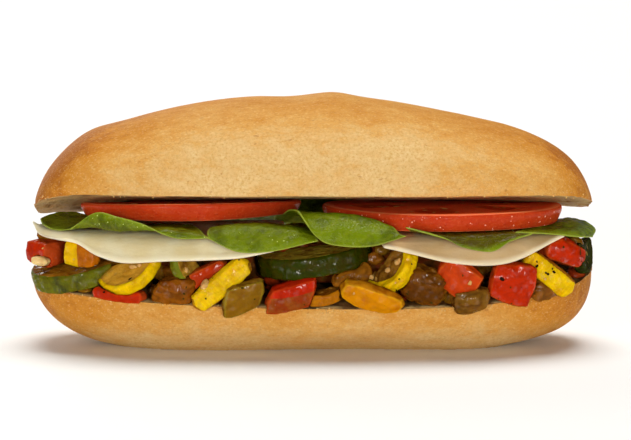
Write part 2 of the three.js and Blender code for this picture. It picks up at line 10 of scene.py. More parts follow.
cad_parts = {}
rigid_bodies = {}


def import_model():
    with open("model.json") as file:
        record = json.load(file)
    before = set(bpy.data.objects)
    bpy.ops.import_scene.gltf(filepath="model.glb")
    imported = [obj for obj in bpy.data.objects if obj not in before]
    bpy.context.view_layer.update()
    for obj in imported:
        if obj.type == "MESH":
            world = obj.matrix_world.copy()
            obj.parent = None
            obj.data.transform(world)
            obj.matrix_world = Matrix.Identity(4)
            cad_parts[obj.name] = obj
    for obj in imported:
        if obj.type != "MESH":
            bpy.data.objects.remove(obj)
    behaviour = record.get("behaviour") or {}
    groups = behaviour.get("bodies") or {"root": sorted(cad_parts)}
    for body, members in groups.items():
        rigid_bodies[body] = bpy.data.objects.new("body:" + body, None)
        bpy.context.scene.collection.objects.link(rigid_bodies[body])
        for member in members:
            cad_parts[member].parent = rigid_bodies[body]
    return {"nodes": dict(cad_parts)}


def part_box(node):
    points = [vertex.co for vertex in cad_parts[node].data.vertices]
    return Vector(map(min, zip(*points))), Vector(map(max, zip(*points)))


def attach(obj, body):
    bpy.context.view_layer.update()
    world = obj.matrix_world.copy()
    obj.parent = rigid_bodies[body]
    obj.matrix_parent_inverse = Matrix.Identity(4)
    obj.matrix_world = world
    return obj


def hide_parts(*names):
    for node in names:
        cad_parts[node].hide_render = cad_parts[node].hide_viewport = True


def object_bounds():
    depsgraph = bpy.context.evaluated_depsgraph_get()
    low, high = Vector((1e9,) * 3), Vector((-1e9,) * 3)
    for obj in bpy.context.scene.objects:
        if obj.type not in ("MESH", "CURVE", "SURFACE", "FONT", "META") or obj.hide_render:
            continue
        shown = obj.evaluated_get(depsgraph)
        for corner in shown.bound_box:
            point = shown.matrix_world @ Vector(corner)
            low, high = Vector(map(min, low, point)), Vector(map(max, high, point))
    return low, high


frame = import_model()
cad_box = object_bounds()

MM = 0.001
scene = bpy.context.scene
nodes = frame["nodes"]

# The roll's own form, as in the part's source.
HALF_LENGTH = 100
UPPER_REACH = 99.4
LEFT_PULL = 1
HALF_WIDTH = 39
CROWN_TOP = 88.8
UPPER_TIP = 48.8
LOWER_TIP = 26.6
BASE_SINK = 2.2

# The source centres the whole sandwich on the origin: the lower half's middle shows by how much.
roll_low, roll_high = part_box("bun_lower")
SHIFT = np.array([(roll_low.x + roll_high.x) / 2 / MM, (roll_low.y + roll_high.y) / 2 / MM, 0])

# The camera, in the source's millimetres, for an image of 631 x 440 pixels.
IMAGE_WIDTH = 631
IMAGE_HEIGHT = 440
CAMERA_AIM = np.array([1.25, 0, 43.5])
CAMERA_DISTANCE = 1000
CAMERA_RISE = 6.5  # degrees over the horizon
PIXELS_PER_MM = 2.8
SENSOR_WIDTH = 36
VIEW_BACK = np.array([0, -math.cos(math.radians(CAMERA_RISE)), math.sin(math.radians(CAMERA_RISE))])
VIEW_UP = np.array([0, math.sin(math.radians(CAMERA_RISE)), math.cos(math.radians(CAMERA_RISE))])


# Noise and numbers

def ease(value, low, high):
    """0 below low, 1 above high, and a smooth step between; low may be the larger."""
    t = np.clip((value - low) / (high - low), 0, 1)
    return t * t * (3 - 2 * t)


def bell(t, at, wide):
    """1 at one place, fading to 0 on both sides of it."""
    return np.exp(-(((t - at) / wide) ** 2))


def signed_power(value, power):
    return np.sign(value) * np.abs(value) ** power


# How the noise's grid is turned from the sandwich's axes
TURN = np.array(Euler((0.6, 0.8, 0.4)).to_matrix())


# The primes of a hash of places, in X, Y and Z and for the seed, and the one that stirs the sum
HASH_X, HASH_Y, HASH_Z, HASH_SEED = 73856093, 19349663, 83492791, 2654435
HASH_STIR = 1274126177


def lattice(x, y, z, seed):
    """A repeatable number from 0 to 1 for each corner of the noise's grid: a hash of the corner."""
    mixed = (x * HASH_X) ^ (y * HASH_Y) ^ (z * HASH_Z) ^ (seed * HASH_SEED)
    mixed = ((mixed ^ (mixed >> 13)) * HASH_STIR) & 0xFFFFFFFF
    return ((mixed ^ (mixed >> 16)) & 0xFFFF) / 65535


def noise(points, size, seed=0):
    """Smooth noise from -1 to 1 at the points, with lumps of that size."""
    turned = points @ TURN.T / size + seed * 17.3
    corner = np.floor(turned).astype(np.int64)
    part = turned - corner
    part = part * part * (3 - 2 * part)
    total = np.zeros(len(points))
    for dx in (0, 1):
        for dy in (0, 1):
            for dz in (0, 1):
                share = np.abs(1 - dx - part[:, 0]) * np.abs(1 - dy - part[:, 1])
                share = share * np.abs(1 - dz - part[:, 2])
                total += share * lattice(corner[:, 0] + dx, corner[:, 1] + dy, corner[:, 2] + dz, seed)
    return 2 * total - 1


def rough_noise(points, size, seed=0, octaves=3):
    """Noise with finer noise on it."""
    total = np.zeros(len(points))
    for octave in range(octaves):
        total += noise(points, size / 2**octave, seed + octave) / 2**octave
    return total / 1.6


# Meshes

def mesh_of(name, points, faces):
    """A mesh from points in the source's millimetres."""
    mesh = bpy.data.meshes.new(name)
    mesh.from_pydata(((points + SHIFT) * MM).tolist(), [], faces)
    mesh.update()
    return mesh


def finish_piece(name, mesh, slot, looks, attributes):
    """A smooth piece that rides on the one body, in place of the solid of its name where there is one."""
    mesh.polygons.foreach_set("use_smooth", [True] * len(mesh.polygons))
    for key, values in attributes.items():
        values = np.asarray(values, np.float32)
        kind, field = ("FLOAT", "value") if values.ndim == 1 else ("FLOAT_VECTOR", "vector")
        mesh.attributes.new(key, kind, "POINT").data.foreach_set(field, values.ravel())
    mesh.update()
    mesh.materials.clear()
    mesh.materials.append(looks)
    piece = bpy.data.objects.new(f"{name}_dressed", mesh)
    scene.collection.objects.link(piece)
    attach(piece, "root")
    if name in nodes:
        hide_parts(name)


def vectors_of(mesh, field):
    flat = np.empty(3 * len(mesh.vertices), np.float32)
    mesh.vertices.foreach_get(field, flat)
    return flat.reshape(-1, 3).astype(float)


def points_of(mesh):
    """A mesh's points in the source's millimetres."""
    return vectors_of(mesh, "co") / MM - SHIFT


def normals_of(mesh):
    return vectors_of(mesh, "normal")


def set_points(mesh, points):
    shifted = (points + SHIFT) * MM
    mesh.vertices.foreach_set("co", shifted.astype(np.float32).ravel())
    mesh.update()


def ring_faces(rings, around):
    """The quads between closed rings of equal length."""
    ring = np.arange(rings - 1)[:, None]
    step = np.arange(around)[None, :]
    after = (step + 1) % around
    corners = [ring * around + step, (ring + 1) * around + step]
    corners += [(ring + 1) * around + after, ring * around + after]
    return np.stack([np.broadcast_to(c, (rings - 1, around)) for c in corners], -1).reshape(-1, 4)


def loft(rings, first_tip, last_tip):
    """Points and faces of a closed body from an array of rings and its two tips."""
    count, around = rings.shape[:2]
    points = np.concatenate([rings.reshape(-1, 3), [first_tip, last_tip]])
    faces = ring_faces(count, around).tolist()
    base = (count - 1) * around
    for step in range(around):
        after = (step + 1) % around
        faces.append([after, count * around, step])
        faces.append([base + step, count * around + 1, base + after])
    return points, faces


def per_point(values, shape, tips=(0, 0)):
    """One value for each point of a loft: those of its rings, then those of its two tips."""
    return np.concatenate([np.broadcast_to(values, shape).ravel(), tips])


def spline(points, t):
    """The Catmull-Rom curve through points, at each t from 0 to 1."""
    points = np.asarray(points, float)
    ends = [2 * points[0] - points[1]], [2 * points[-1] - points[-2]]
    padded = np.concatenate([ends[0], points, ends[1]])
    place = np.clip(t, 0, 1) * (len(points) - 1)
    start = np.minimum(place.astype(int), len(points) - 2)
    part = (place - start).reshape(-1, *[1] * (points.ndim - 1))
    p0, p1, p2, p3 = (padded[start + k] for k in range(4))
    go, come = (p2 - p0) / 2, (p3 - p1) / 2
    square = 3 * (p2 - p1) - 2 * go - come
    cube = 2 * (p1 - p2) + go + come
    return p1 + go * part + square * part**2 + cube * part**3


# Node materials

def linear(value):
    value = value / 255
    return value / 12.92 if value <= 0.04045 else ((value + 0.055) / 1.055) ** 2.4


def colour(rgb):
    """A screen colour, 0 to 255, as Blender's own."""
    return (*[linear(value) for value in rgb], 1)


FILM_IOR = 1.31
PATCH_EDGE = (0.54, 0.63)  # the noise at which a patch of oil starts and is full


class Nodes:
    """A node tree under construction: each call adds a node and gives its output."""

    def __init__(self, tree):
        self.tree = tree

    def put(self, socket, value):
        if isinstance(value, bpy.types.NodeSocket):
            self.tree.links.new(value, socket)
        else:
            socket.default_value = value

    def add(self, kind, inputs, output=0, **settings):
        node = self.tree.nodes.new(kind)
        for name, value in settings.items():
            setattr(node, name, value)
        for key, value in inputs.items():
            self.put(node.inputs[key], value)
        return node.outputs[output]


class Paint(Nodes):
    """A node material. The plain settings of its shader are given as keywords."""

    def __init__(self, name, **shader):
        self.material = bpy.data.materials.new(name)
        self.material.use_nodes = True
        super().__init__(self.material.node_tree)
        self.shader = self.tree.nodes["Principled BSDF"]
        for key, value in shader.items():
            self.set(key.replace("_", " "), value)

    def set(self, key, value):
        self.put(self.shader.inputs[key], value)

    def oiled(self, weight, roughness, ior=FILM_IOR):
        """A thin film of oil or water over a surface that hardly shines by itself."""
        self.set("Specular IOR Level", 0)
        self.set("Coat Weight", weight)
        self.set("Coat Roughness", roughness)
        self.set("Coat IOR", ior)

    def wet_patches(self, where, size, low, high):
        """Oil that lies in patches, from a thin film to a full one."""
        patches = self.mask(self.noise(where, size, 2), *PATCH_EDGE)
        self.set("Coat Weight", self.spread(patches, low, high))

    def relief(self, normal):
        self.set("Normal", normal)
        self.set("Coat Normal", normal)

    def place(self, stretch=(1, 1, 1)):
        """The place on the object in millimetres; stretch above 1 lengthens the pattern that way."""
        coordinates = self.add("ShaderNodeTexCoord", {}, "Object")
        scale = [1 / MM / part for part in stretch]
        return self.add("ShaderNodeVectorMath", {0: coordinates, 1: scale}, operation="MULTIPLY")

    def attribute(self, name, output="Fac"):
        return self.add("ShaderNodeAttribute", {}, output, attribute_name=name)

    def noise(self, where, size, detail=2, rough=0.5):
        inputs = {"Vector": where, "Scale": 1 / size, "Detail": detail, "Roughness": rough}
        return self.add("ShaderNodeTexNoise", inputs, "Fac")

    def cells(self, where, size, feature="F1"):
        inputs = {"Vector": where, "Scale": 1 / size}
        return self.add("ShaderNodeTexVoronoi", inputs, "Distance", feature=feature)

    def mask(self, value, low, high):
        inputs = {"Value": value, "From Min": low, "From Max": high}
        return self.add("ShaderNodeMapRange", inputs, "Result", interpolation_type="SMOOTHSTEP")

    def spread(self, value, low, high):
        """A 0 to 1 value laid out from low to high."""
        return self.add("ShaderNodeMapRange", {"Value": value, "To Min": low, "To Max": high}, "Result")

    def sum(self, a, b, kind="ADD"):
        return self.add("ShaderNodeMath", {0: a, 1: b}, operation=kind)

    def times(self, a, b):
        return self.sum(a, b, "MULTIPLY")

    def blend(self, factor, a, b, kind="MIX"):
        settings = {"data_type": "RGBA", "blend_type": kind}
        return self.add("ShaderNodeMix", {0: factor, 6: a, 7: b}, 2, **settings)

    def over(self, base, rgb, mask, share=1):
        """A colour laid over another where the mask says, as strongly as share says."""
        return self.blend(self.times(mask, share), base, colour(rgb))

    def ramp(self, value, *stops):
        node = self.tree.nodes.new("ShaderNodeValToRGB")
        elements = node.color_ramp.elements
        elements.remove(elements[1])
        elements[0].position = stops[0][0]
        elements[0].color = colour(stops[0][1])
        for position, shade in stops[1:]:
            elements.new(position).color = colour(shade)
        self.put(node.inputs["Fac"], value)
        return node.outputs["Color"]

    def bump(self, height, depth, normal=None):
        inputs = {"Height": height, "Distance": depth * MM, "Strength": 1}
        if normal is not None:
            inputs["Normal"] = normal
        return self.add("ShaderNodeBump", inputs, "Normal")


# Bread

def half_width(x):
    """Half the depth of the roll along its length."""
    return HALF_WIDTH * (1 - np.abs(x / HALF_LENGTH) ** 2.5) ** 0.4


CUT_HEIGHT = 50.2


def upper_cut(x, y):
    """The cut face of the upper half: it leans back, droops at both tips and sags by the left one."""
    t = x / HALF_LENGTH
    droop = np.where(t < 0, 3.2, 1.2) * np.abs(t) ** 9
    lean = 0.1 + np.where(t < 0, 0.17, 0.13) * t**4
    sag = 2 * bell(x, -81, 10) * ease(y, -12, 12)
    return CUT_HEIGHT + 0.8 * (1 - t * t) - lean * y + 0.0006 * y * y - droop - sag


def lower_cut(x, y):
    """The cut face of the lower half: it rises to the back."""
    t = x / HALF_LENGTH
    return LOWER_TIP - 1.2 * t + 3 * t**5 + 0.2 * y - 0.0011 * y * y


def crown(x):
    """The height of the roll's top, with its low bumps and dents."""
    t = x / HALF_LENGTH
    arch = (CROWN_TOP - UPPER_TIP) * (1 - t * t) ** np.where(t < 0, 0.475, 0.44) * (1 - 0.35 * t**40)
    bumps = 2 * bell(t, -0.8, 0.1) + 0.9 * bell(t, 0.08, 0.07)
    dents = 2 * bell(t, 0.48, 0.27) + 0.8 * bell(t, -0.09, 0.09)
    return UPPER_TIP + arch + bumps - dents


def keel(x):
    """The height of the roll's underside, which sinks under the table where the roll is pressed flat."""
    t = x / HALF_LENGTH
    depth = (1 - t**6) ** np.where(t < 0, 0.52, 0.42)
    return LOWER_TIP - (LOWER_TIP + BASE_SINK) * depth + bell(t, 0.76, 0.14)


def swell(x, y, z):
    """The broad bulges and hollows of the crust."""
    long = np.sin(0.055 * x + 0.9) * np.sin(0.09 * y - 0.05 * z + 0.4)
    short = np.sin(0.13 * x - 0.07 * z + 2.1) * np.sin(0.15 * y + 0.12 * z)
    return 0.7 * long + 0.35 * short


UPPER_FULLNESS = 2.3  # how square each half is in section: 2 is an ellipse
LOWER_FULLNESS = 2.6
BUN_STATIONS = 250
BUN_CUT_STEPS = 60
BUN_CRUST_STEPS = 120
CRUST_INSET = 0.15  # keeps the finely meshed crust inside its solid's flat facets
CRUST_RELIEF = 0.3  # how deep the crust's wrinkles and pits go
CRUMB_RELIEF = 0.9  # how deep the pores of the cut face go
RIM_WEAR = 1.4  # how many times deeper the relief is on the very edge of the cut
ON_TABLE = 0.01  # points lower than this lie on the table
CRUST_FOOT = 50  # where the upper half's crust starts
CUT_EDGE_ANGLE = 50  # edges sharper than this stay sharp, in degrees
BAKED_REACH = 99  # beyond this the crest is taken to be as high as here


def bun_rings(reach, cut, outer, fullness, side, pull):
    """The rings of half the roll, and how near to the edge of the cut each step round a ring lies."""
    turn = math.pi / 2 * (2 * np.arange(1, BUN_STATIONS) / BUN_STATIONS - 1)
    x = (reach * np.sin(turn))[:, None]
    wide = half_width(x)
    share = np.arange(BUN_CUT_STEPS) / BUN_CUT_STEPS
    cut_y = side * wide * (1 - 2 * share)
    cut_ring = np.stack(np.broadcast_arrays(x, cut_y, cut(x, cut_y)), -1)
    angle = np.pi * np.arange(BUN_CRUST_STEPS) / BUN_CRUST_STEPS
    y = -side * wide * signed_power(np.cos(angle), 2 / fullness)
    height = np.sin(angle) ** (2 / fullness)
    z = cut(x, y) * (1 - height) + outer(x) * height
    push = swell(x, y, z) * np.sin(2 * angle) * (1 - (x / HALF_LENGTH) ** 4)
    crust_ring = np.stack(np.broadcast_arrays(x, y, np.maximum(0, z + push)), -1)
    rings = np.concatenate([cut_ring, crust_ring], 1)
    rings[..., 0] += np.where(rings[..., 0] < 0, pull * (rings[..., 0] / reach) ** 8, 0)
    return rings, np.concatenate([np.minimum(share, 1 - share) * 3, 1 - height**0.7])


def bun_half(name, reach, cut, outer, fullness, side, looks, pull=0):
    """Half the roll, with its crust's relief, its cut face's pores and how far each point is baked; the upper
    half's cut face carries painted shade.
    """
    rings, rim = bun_rings(reach, cut, outer, fullness, side, pull)
    shape = rings.shape[:2]
    points, faces = loft(rings, [pull - reach, 0, float(cut(-reach, 0))], [reach, 0, float(cut(reach, 0))])
    step = np.arange(shape[1])
    crumb = per_point((step > 0) & (step < BUN_CUT_STEPS), shape, (0.5, 0.5))
    rim = per_point(rim, shape, (1, 1))

    mesh = mesh_of(name, points, faces)
    wrinkles = rough_noise(points * [0.5, 1, 1], 5, 3, 4) * 0.5 + 0.5
    pits = ease(noise(points, 1.6, 9), 0.45, 0.9) * ease(noise(points, 9, 12), -0.2, 0.5)
    crust_depth = CRUST_INSET + CRUST_RELIEF * (0.6 * wrinkles + 0.3 * pits)
    pores = ease(rough_noise(points * [0.6, 1, 1], 3, 21, 3), -0.15, 0.55)
    depth = np.where(crumb > 0.9, CRUMB_RELIEF * pores, crust_depth)
    depth = depth * np.where(rim > 0.985, RIM_WEAR, 1)
    on_table = points[:, 2] < ON_TABLE
    points = points - normals_of(mesh) * depth[:, None]
    points[:, 2] = np.where(on_table, 0, np.maximum(points[:, 2], 0))
    set_points(mesh, points)
    # How brown the crust is; on the lower half's base this is painted light.
    bake = baked_upper(points) if side > 0 else browned_and_lit_lower(points)
    # Painted shade on the upper half's cut face: the juice colour lies over it away from its very edge, and
    # its pores are darker all over. On the lower half the juice colour is the filling's juice, staining the
    # cut face away from its very edge.
    inside = ease(rim, 0.02, 0.14) if side < 0 else 0.4 * ease(rim, 0, 0.1)
    shaded_pores = np.clip(pores + (0.6 if side > 0 else 0), 0, 1)
    attributes = {"crumb": crumb, "bake": bake, "pore": shaded_pores, "soak": inside}
    finish_piece(name, mesh, "crust", looks, attributes)
    mesh.set_sharp_from_angle(angle=math.radians(CUT_EDGE_ANGLE))


def baked_upper(points):
    """How brown the crust is, 0 to 1: the crest and both ends are browner than the flanks."""
    x, z = points[:, 0], points[:, 2]
    height = crown(np.clip(x, -BAKED_REACH, BAKED_REACH)) - CRUST_FOOT
    crest = ease((z - CRUST_FOOT) / height, 0.55, 1)
    left = ease(x, -62, -100)
    right = ease(x, 72, 100)
    patches = rough_noise(points * [0.6, 1, 1], 16, 40, 3)
    flank = 0.24 * ease(x, 25, 70) + 0.26 * ease(x, -30, -62) + 0.1 * ease(z, 58, 50)
    return np.clip(0.02 + 0.5 * crest + 0.65 * left + 0.45 * right + flank + 0.16 * patches, 0, 1)


def browned_and_lit_lower(points):
    """As baked_upper, for the lower half, which is darker all over: both ends are browner, the lip under the
    cut paler, and its base paler as painted light where it faces the table.
    """
    x, z = points[:, 0], points[:, 2]
    # Painted light: the base is painted paler, as if lit from the table below.
    base = ease(z, 16, 0)
    ends = ease(np.abs(x), 55, 98)
    patches = rough_noise(points * [0.6, 1, 1], 14, 50, 3)
    lip = ease(z, 19, 24) * ease(np.abs(x), 90, 70)
    return np.clip(0.42 - 0.5 * base + 0.5 * ends - 0.25 * lip + 0.14 * patches, 0, 1)


PALE_CRUST = (230, 198, 142)
GOLD_CRUST = (222, 170, 92)
BROWN_CRUST = (208, 142, 48)
DARK_CRUST = (176, 106, 30)
FLOUR = (248, 222, 160)
SCORCH = (168, 98, 34)
CRUMB = (248, 206, 126)
# On the upper half's cut face the pore colour and the juice colour are painted shade; on the lower half they
# are its pores and the filling's juice.
CRUMB_PORE_AND_PAINTED_SHADE = (196, 140, 66)
JUICE_AND_PAINTED_SHADE = (92, 50, 6)
JUICE_AND_PAINTED_SHADE = (92, 50, 6)
CRUMB_LIGHT = (244, 228, 184)
BROWNING = [(0, PALE_CRUST), (0.35, GOLD_CRUST), (0.72, BROWN_CRUST), (1, DARK_CRUST)]
SPECKLE = [(0.34, (234, 212, 172)), (0.5, (248, 240, 226)), (0.64, (255, 255, 255))]


def crust_looks():
    paint = Paint("crust", Roughness=0.6, Subsurface_Weight=0.08, Subsurface_Scale=0.002)
    paint.set("Specular IOR Level", 0.12)
    where = paint.place()
    long = paint.place((1.8, 1, 1))
    grain = paint.noise(where, 0.9, 3, 0.7)
    mottle = paint.noise(long, 2.6, 3, 0.6)
    blotch = paint.noise(long, 9, 3, 0.6)
    shade = paint.attribute("bake")
    for pattern, reach in ((grain, 0.34), (mottle, 0.34), (blotch, 0.25)):
        shade = paint.sum(shade, paint.spread(pattern, -reach, reach))
    crust = paint.blend(1, paint.ramp(shade, *BROWNING), paint.ramp(grain, *SPECKLE), "MULTIPLY")
    crust = paint.over(crust, FLOUR, paint.mask(paint.noise(long, 0.6, 1), 0.56, 0.72), 0.22)
    crust = paint.over(crust, SCORCH, paint.mask(paint.noise(long, 1.4, 1), 0.7, 0.8), 0.45)
    # The pore and juice colours are painted shade on the upper half's cut face.
    crumb = paint.blend(paint.attribute("pore"), colour(CRUMB), colour(CRUMB_PORE_AND_PAINTED_SHADE))
    crumb = paint.over(crumb, CRUMB_LIGHT, grain, 0.5)
    crumb = paint.over(crumb, JUICE_AND_PAINTED_SHADE, paint.times(paint.attribute("soak"), paint.spread(mottle, 0.75, 1.05)))
    paint.set("Base Color", paint.blend(paint.attribute("crumb"), crust, crumb))
    fine = paint.bump(paint.noise(where, 0.4, 2, 0.6), 0.16)
    paint.set("Normal", paint.bump(paint.noise(where, 1.2, 3, 0.65), 0.6, fine))
    return paint.material


# Tomato slices

TOMATO_THICK = 6
LEFT_TOMATO_X = -43.7
LEFT_TOMATO_LOW = 44.35
RIGHT_TOMATO_LOW = 44


def tomato_left_under(x, y):
    along = x - LEFT_TOMATO_X
    return LEFT_TOMATO_LOW + 0.0012 * along**2 + 0.012 * along - 0.078 * y


def tomato_left_thick(x):
    return TOMATO_THICK - 0.0012 * (x - LEFT_TOMATO_X) ** 2


def tomato_right_under(x, y):
    return RIGHT_TOMATO_LOW - 0.035 * (y + np.hypot(y, 10))


def tomato_right_thick(x):
    return TOMATO_THICK


# Each slice: its middle, its radius, its underside, its thickness and the seed of its flesh.
TOMATOES = {
    "tomato_left": ([LEFT_TOMATO_X, 0.5], 39.3, tomato_left_under, tomato_left_thick, 2),
    "tomato_right": ([46.5, 0], 42.6, tomato_right_under, tomato_right_thick, 4),
}
TOMATO_SIDES = 300
TOMATO_FACE_ROWS = 44
TOMATO_RIM_ROWS = 26
# Its rim in section, from below to above: how far out and how far up, as shares of radius and thickness.
TOMATO_PROFILE = [(0.93, 0), (0.957, 0.03), (0.977, 0.28), (0.999, 0.7), (0.995, 0.93), (0.975, 1)]
CHAMBERS = 6
CHAMBER_DEPTH = 0.55


def tomato_slice(name, centre, radius, under, thick, seed, looks):
    """A slice: its skin round the rim, its flesh and seed chambers on both faces."""
    share = np.linspace(0.02, 0.99, TOMATO_FACE_ROWS)
    rim = spline(TOMATO_PROFILE, np.linspace(0, 1, TOMATO_RIM_ROWS))
    low, high = rim[0, 0], rim[-1, 0]
    out = np.concatenate([share * low, rim[:, 0], share[::-1] * high])[:, None]
    up = np.concatenate([0 * share, rim[:, 1], 0 * share + 1])[:, None]
    skin = np.concatenate([0 * share, ease(rim[:, 1], 0.01, 0.06) * ease(rim[:, 1], 0.99, 0.95), 0 * share])
    angle = -2 * np.pi * np.arange(TOMATO_SIDES)[None, :] / TOMATO_SIDES
    lobes = 1 + 0.012 * np.cos(5 * angle + centre[0]) + 0.008 * np.cos(3 * angle + 1)
    reach = radius * lobes * out
    x = centre[0] + reach * np.cos(angle)
    y = centre[1] + reach * np.sin(angle)
    rings = np.stack(np.broadcast_arrays(x, y, under(x, y) + thick(x) * up), -1)
    shape = rings.shape[:2]
    tips = [[*centre, float(under(*centre) + thick(centre[0]) * top)] for top in (0, 1)]
    points, faces = loft(rings, *tips)

    across = per_point(out, shape)
    wobble = 0.1 * noise(points, 14, seed)
    chamber = ease(np.cos(per_point(angle, shape) * CHAMBERS + seed + 4 * wobble), -0.35, 0.5)
    chamber = chamber * ease(across + wobble, 0.3, 0.42) * ease(across + wobble, 0.84, 0.74)
    sides = per_point(up * 2 - 1, shape, (-1, 1))
    lumps = rough_noise(points, 4, seed + 5, 3)
    flat = ease(across, 0.94, 0.88)
    points[:, 2] -= sides * flat * (CHAMBER_DEPTH * chamber * (0.6 + 0.4 * lumps) + 0.1 * (1 + lumps))
    dents = 0.3 * (0.5 + 0.5 * rough_noise(points * [1, 1, 0.4], 9, seed + 8, 2)) * (1 - flat)
    away = points[:, :2] - np.array(centre)
    points[:, :2] -= dents[:, None] * away / np.maximum(1, np.linalg.norm(away, axis=1))[:, None]
    attributes = {"chamber": chamber, "across": across, "skin": per_point(skin[:, None], shape)}
    finish_piece(name, mesh_of(name, points, faces), "tomato", looks, attributes)


TOMATO_SKIN = (192, 66, 20)
TOMATO_SKIN_DEEP = (178, 46, 20)
TOMATO_SKIN_PALE = (214, 100, 56)
TOMATO_FLESH = (240, 92, 44)
TOMATO_FLESH_DEEP = (226, 70, 34)
TOMATO_RING = (244, 136, 88)
TOMATO_GEL = (208, 52, 16)
TOMATO_GEL_BROWN = (176, 66, 24)
TOMATO_SEED = (214, 160, 90)


def tomato_looks():
    paint = Paint("tomato", Roughness=0.32, Subsurface_Weight=0.5, Subsurface_Scale=0.004)
    paint.set("Subsurface Radius", (1, 0.25, 0.12))
    paint.oiled(paint.spread(paint.attribute("skin"), 0.04, 0.4), 0.13)
    where = paint.place()
    skin = paint.over(colour(TOMATO_SKIN), TOMATO_SKIN_DEEP, paint.noise(where, 6, 3, 0.55))
    skin = paint.over(skin, TOMATO_SKIN_PALE, paint.mask(paint.noise(where, 0.9, 3, 0.6), 0.5, 0.75), 0.35)
    flesh = paint.over(colour(TOMATO_FLESH), TOMATO_FLESH_DEEP, paint.noise(where, 1.6, 3, 0.6))
    flesh = paint.over(flesh, TOMATO_RING, paint.mask(paint.attribute("across"), 0.9, 0.97), 0.6)
    gel = paint.over(colour(TOMATO_GEL), TOMATO_GEL_BROWN, paint.noise(where, 1.4, 2))
    flesh = paint.blend(paint.attribute("chamber"), flesh, gel)
    seed_dots = paint.mask(paint.cells(paint.place((1.6, 1, 1)), 3.2), 0.3, 0.22)
    flesh = paint.over(flesh, TOMATO_SEED, paint.times(seed_dots, paint.attribute("chamber")), 0.8)
    paint.set("Base Color", paint.blend(paint.attribute("skin"), flesh, skin))
    wet = paint.bump(paint.mask(paint.cells(where, 1.7), 0.3, 0.12), 0.16)
    wet = paint.bump(paint.noise(where, 0.8, 2, 0.5), 0.1, wet)
    paint.relief(paint.bump(paint.noise(where, 3.5, 2), 0.4, wet))
    return paint.material


# Cheese and spinach

def sheet(rows, along, across, thick, lift):
    """A thin sheet through rows of points, given back to front: its points, its faces and their u and v.

    thick(u, v) is its thickness and lift(u, v, place) how far its face stands off along its normal.
    """
    u_line = np.linspace(0, 1, along)
    v_line = np.linspace(0, 1, across)
    lanes = np.stack([spline(row, u_line) for row in rows])
    face = spline(lanes, v_line)
    normal = np.cross(np.gradient(face, axis=1), np.gradient(face, axis=0))
    normal /= np.linalg.norm(normal, axis=-1, keepdims=True)
    normal *= np.sign(normal[..., 2:].mean())
    v, u = np.meshgrid(v_line, u_line, indexing="ij")
    face = face + normal * lift(u, v, face)[..., None]
    half = thick(u, v)[..., None] / 2
    points = np.concatenate([(face + normal * half).reshape(-1, 3), (face - normal * half).reshape(-1, 3)])
    count = along * across
    index = np.arange(count).reshape(across, along)
    corners = [index[:-1, :-1], index[:-1, 1:], index[1:, 1:], index[1:, :-1]]
    top = np.stack(corners, -1).reshape(-1, 4)
    rim = np.array([*index[0, :-1], *index[:-1, -1], *index[-1, :0:-1], *index[:0:-1, 0]])
    after = np.roll(rim, -1)
    band = np.stack([after, rim, rim + count, after + count], -1)
    faces = np.concatenate([top, top[:, ::-1] + count, band]).tolist()
    return points, faces, np.tile(u.ravel(), 2), np.tile(v.ravel(), 2)


CHEESES = {
    "cheese_left": [
        [[-72, 33, 39.2], [-58, 36, 38.5], [-42, 37, 38.2], [-26, 36, 38.4], [-12, 34, 38.8]],
        [[-93, 8, 41.8], [-68, 6, 41.5], [-48, 6, 41.5], [-28, 6, 41.5], [-10, 6, 41.5]],
        [
            [-97, -6, 42.2], [-88, -18, 41.4], [-73, -26, 41.7],
            [-57, -31, 41.8], [-34, -33, 41.7], [-12, -33, 41.4],
        ],
        [
            [-99.2, -5, 43.4], [-95.8, -14, 39.8], [-88.6, -23, 39.1], [-81.6, -29, 38.6], [-74, -34, 35],
            [-64.5, -38, 33.2], [-50, -41, 34.2], [-36, -42, 34.5], [-24, -43, 35.3], [-13, -43, 37.4],
        ],
    ],
    "cheese_right": [
        [[14, 35, 38.4], [34, 37, 37.8], [54, 36, 37.8], [72, 32, 38.6]],
        [[18, 6, 41.5], [42, 6, 41.5], [64, 6, 41.5], [88, 4, 41.6]],
        [[22, -33, 41.4], [44, -34, 41.3], [64, -32, 41.3], [86, -20, 41.5]],
        [[24.7, -43, 39.2], [47, -43.5, 33.8], [68, -40.5, 33.7], [88, -28, 41.2]],
    ],
}
CHEESE_THICK = 1.8
# The right slice's tint is darker than the left's: partly its own browner tone, partly painted shade from the
# leaves above it.
CHEESE_TINTS = {"cheese_left": (224, 212, 176), "cheese_right": (208, 178, 134)}
CHEESE_EDGE = (248, 240, 214)
CHEESE_ALONG = 150
CHEESE_ACROSS = 70


def cheese_slice(name, rows):
    """A slice with thin edges and a ripple along its front."""
    def thick(u, v):
        rim = np.minimum(np.minimum(u, 1 - u) * 30, np.minimum(v, 1 - v) * 22)
        return CHEESE_THICK * (0.35 + 0.6 * np.sqrt(np.clip(rim, 0, 1)))

    def lift(u, v, face):
        ripple = 0.35 * np.sin(8 * u) * v**3
        folds = rough_noise(face.reshape(-1, 3) * [0.35, 1, 1], 6, 60, 2).reshape(u.shape)
        return ripple + 0.2 * folds * v**2

    points, faces, _, v = sheet(rows, CHEESE_ALONG, CHEESE_ACROSS, thick, lift)
    looks = cheese_looks(name, CHEESE_TINTS[name])
    finish_piece(name, mesh_of(name, points, faces), "cheese", looks, {"edge": ease(v, 0.93, 1)})


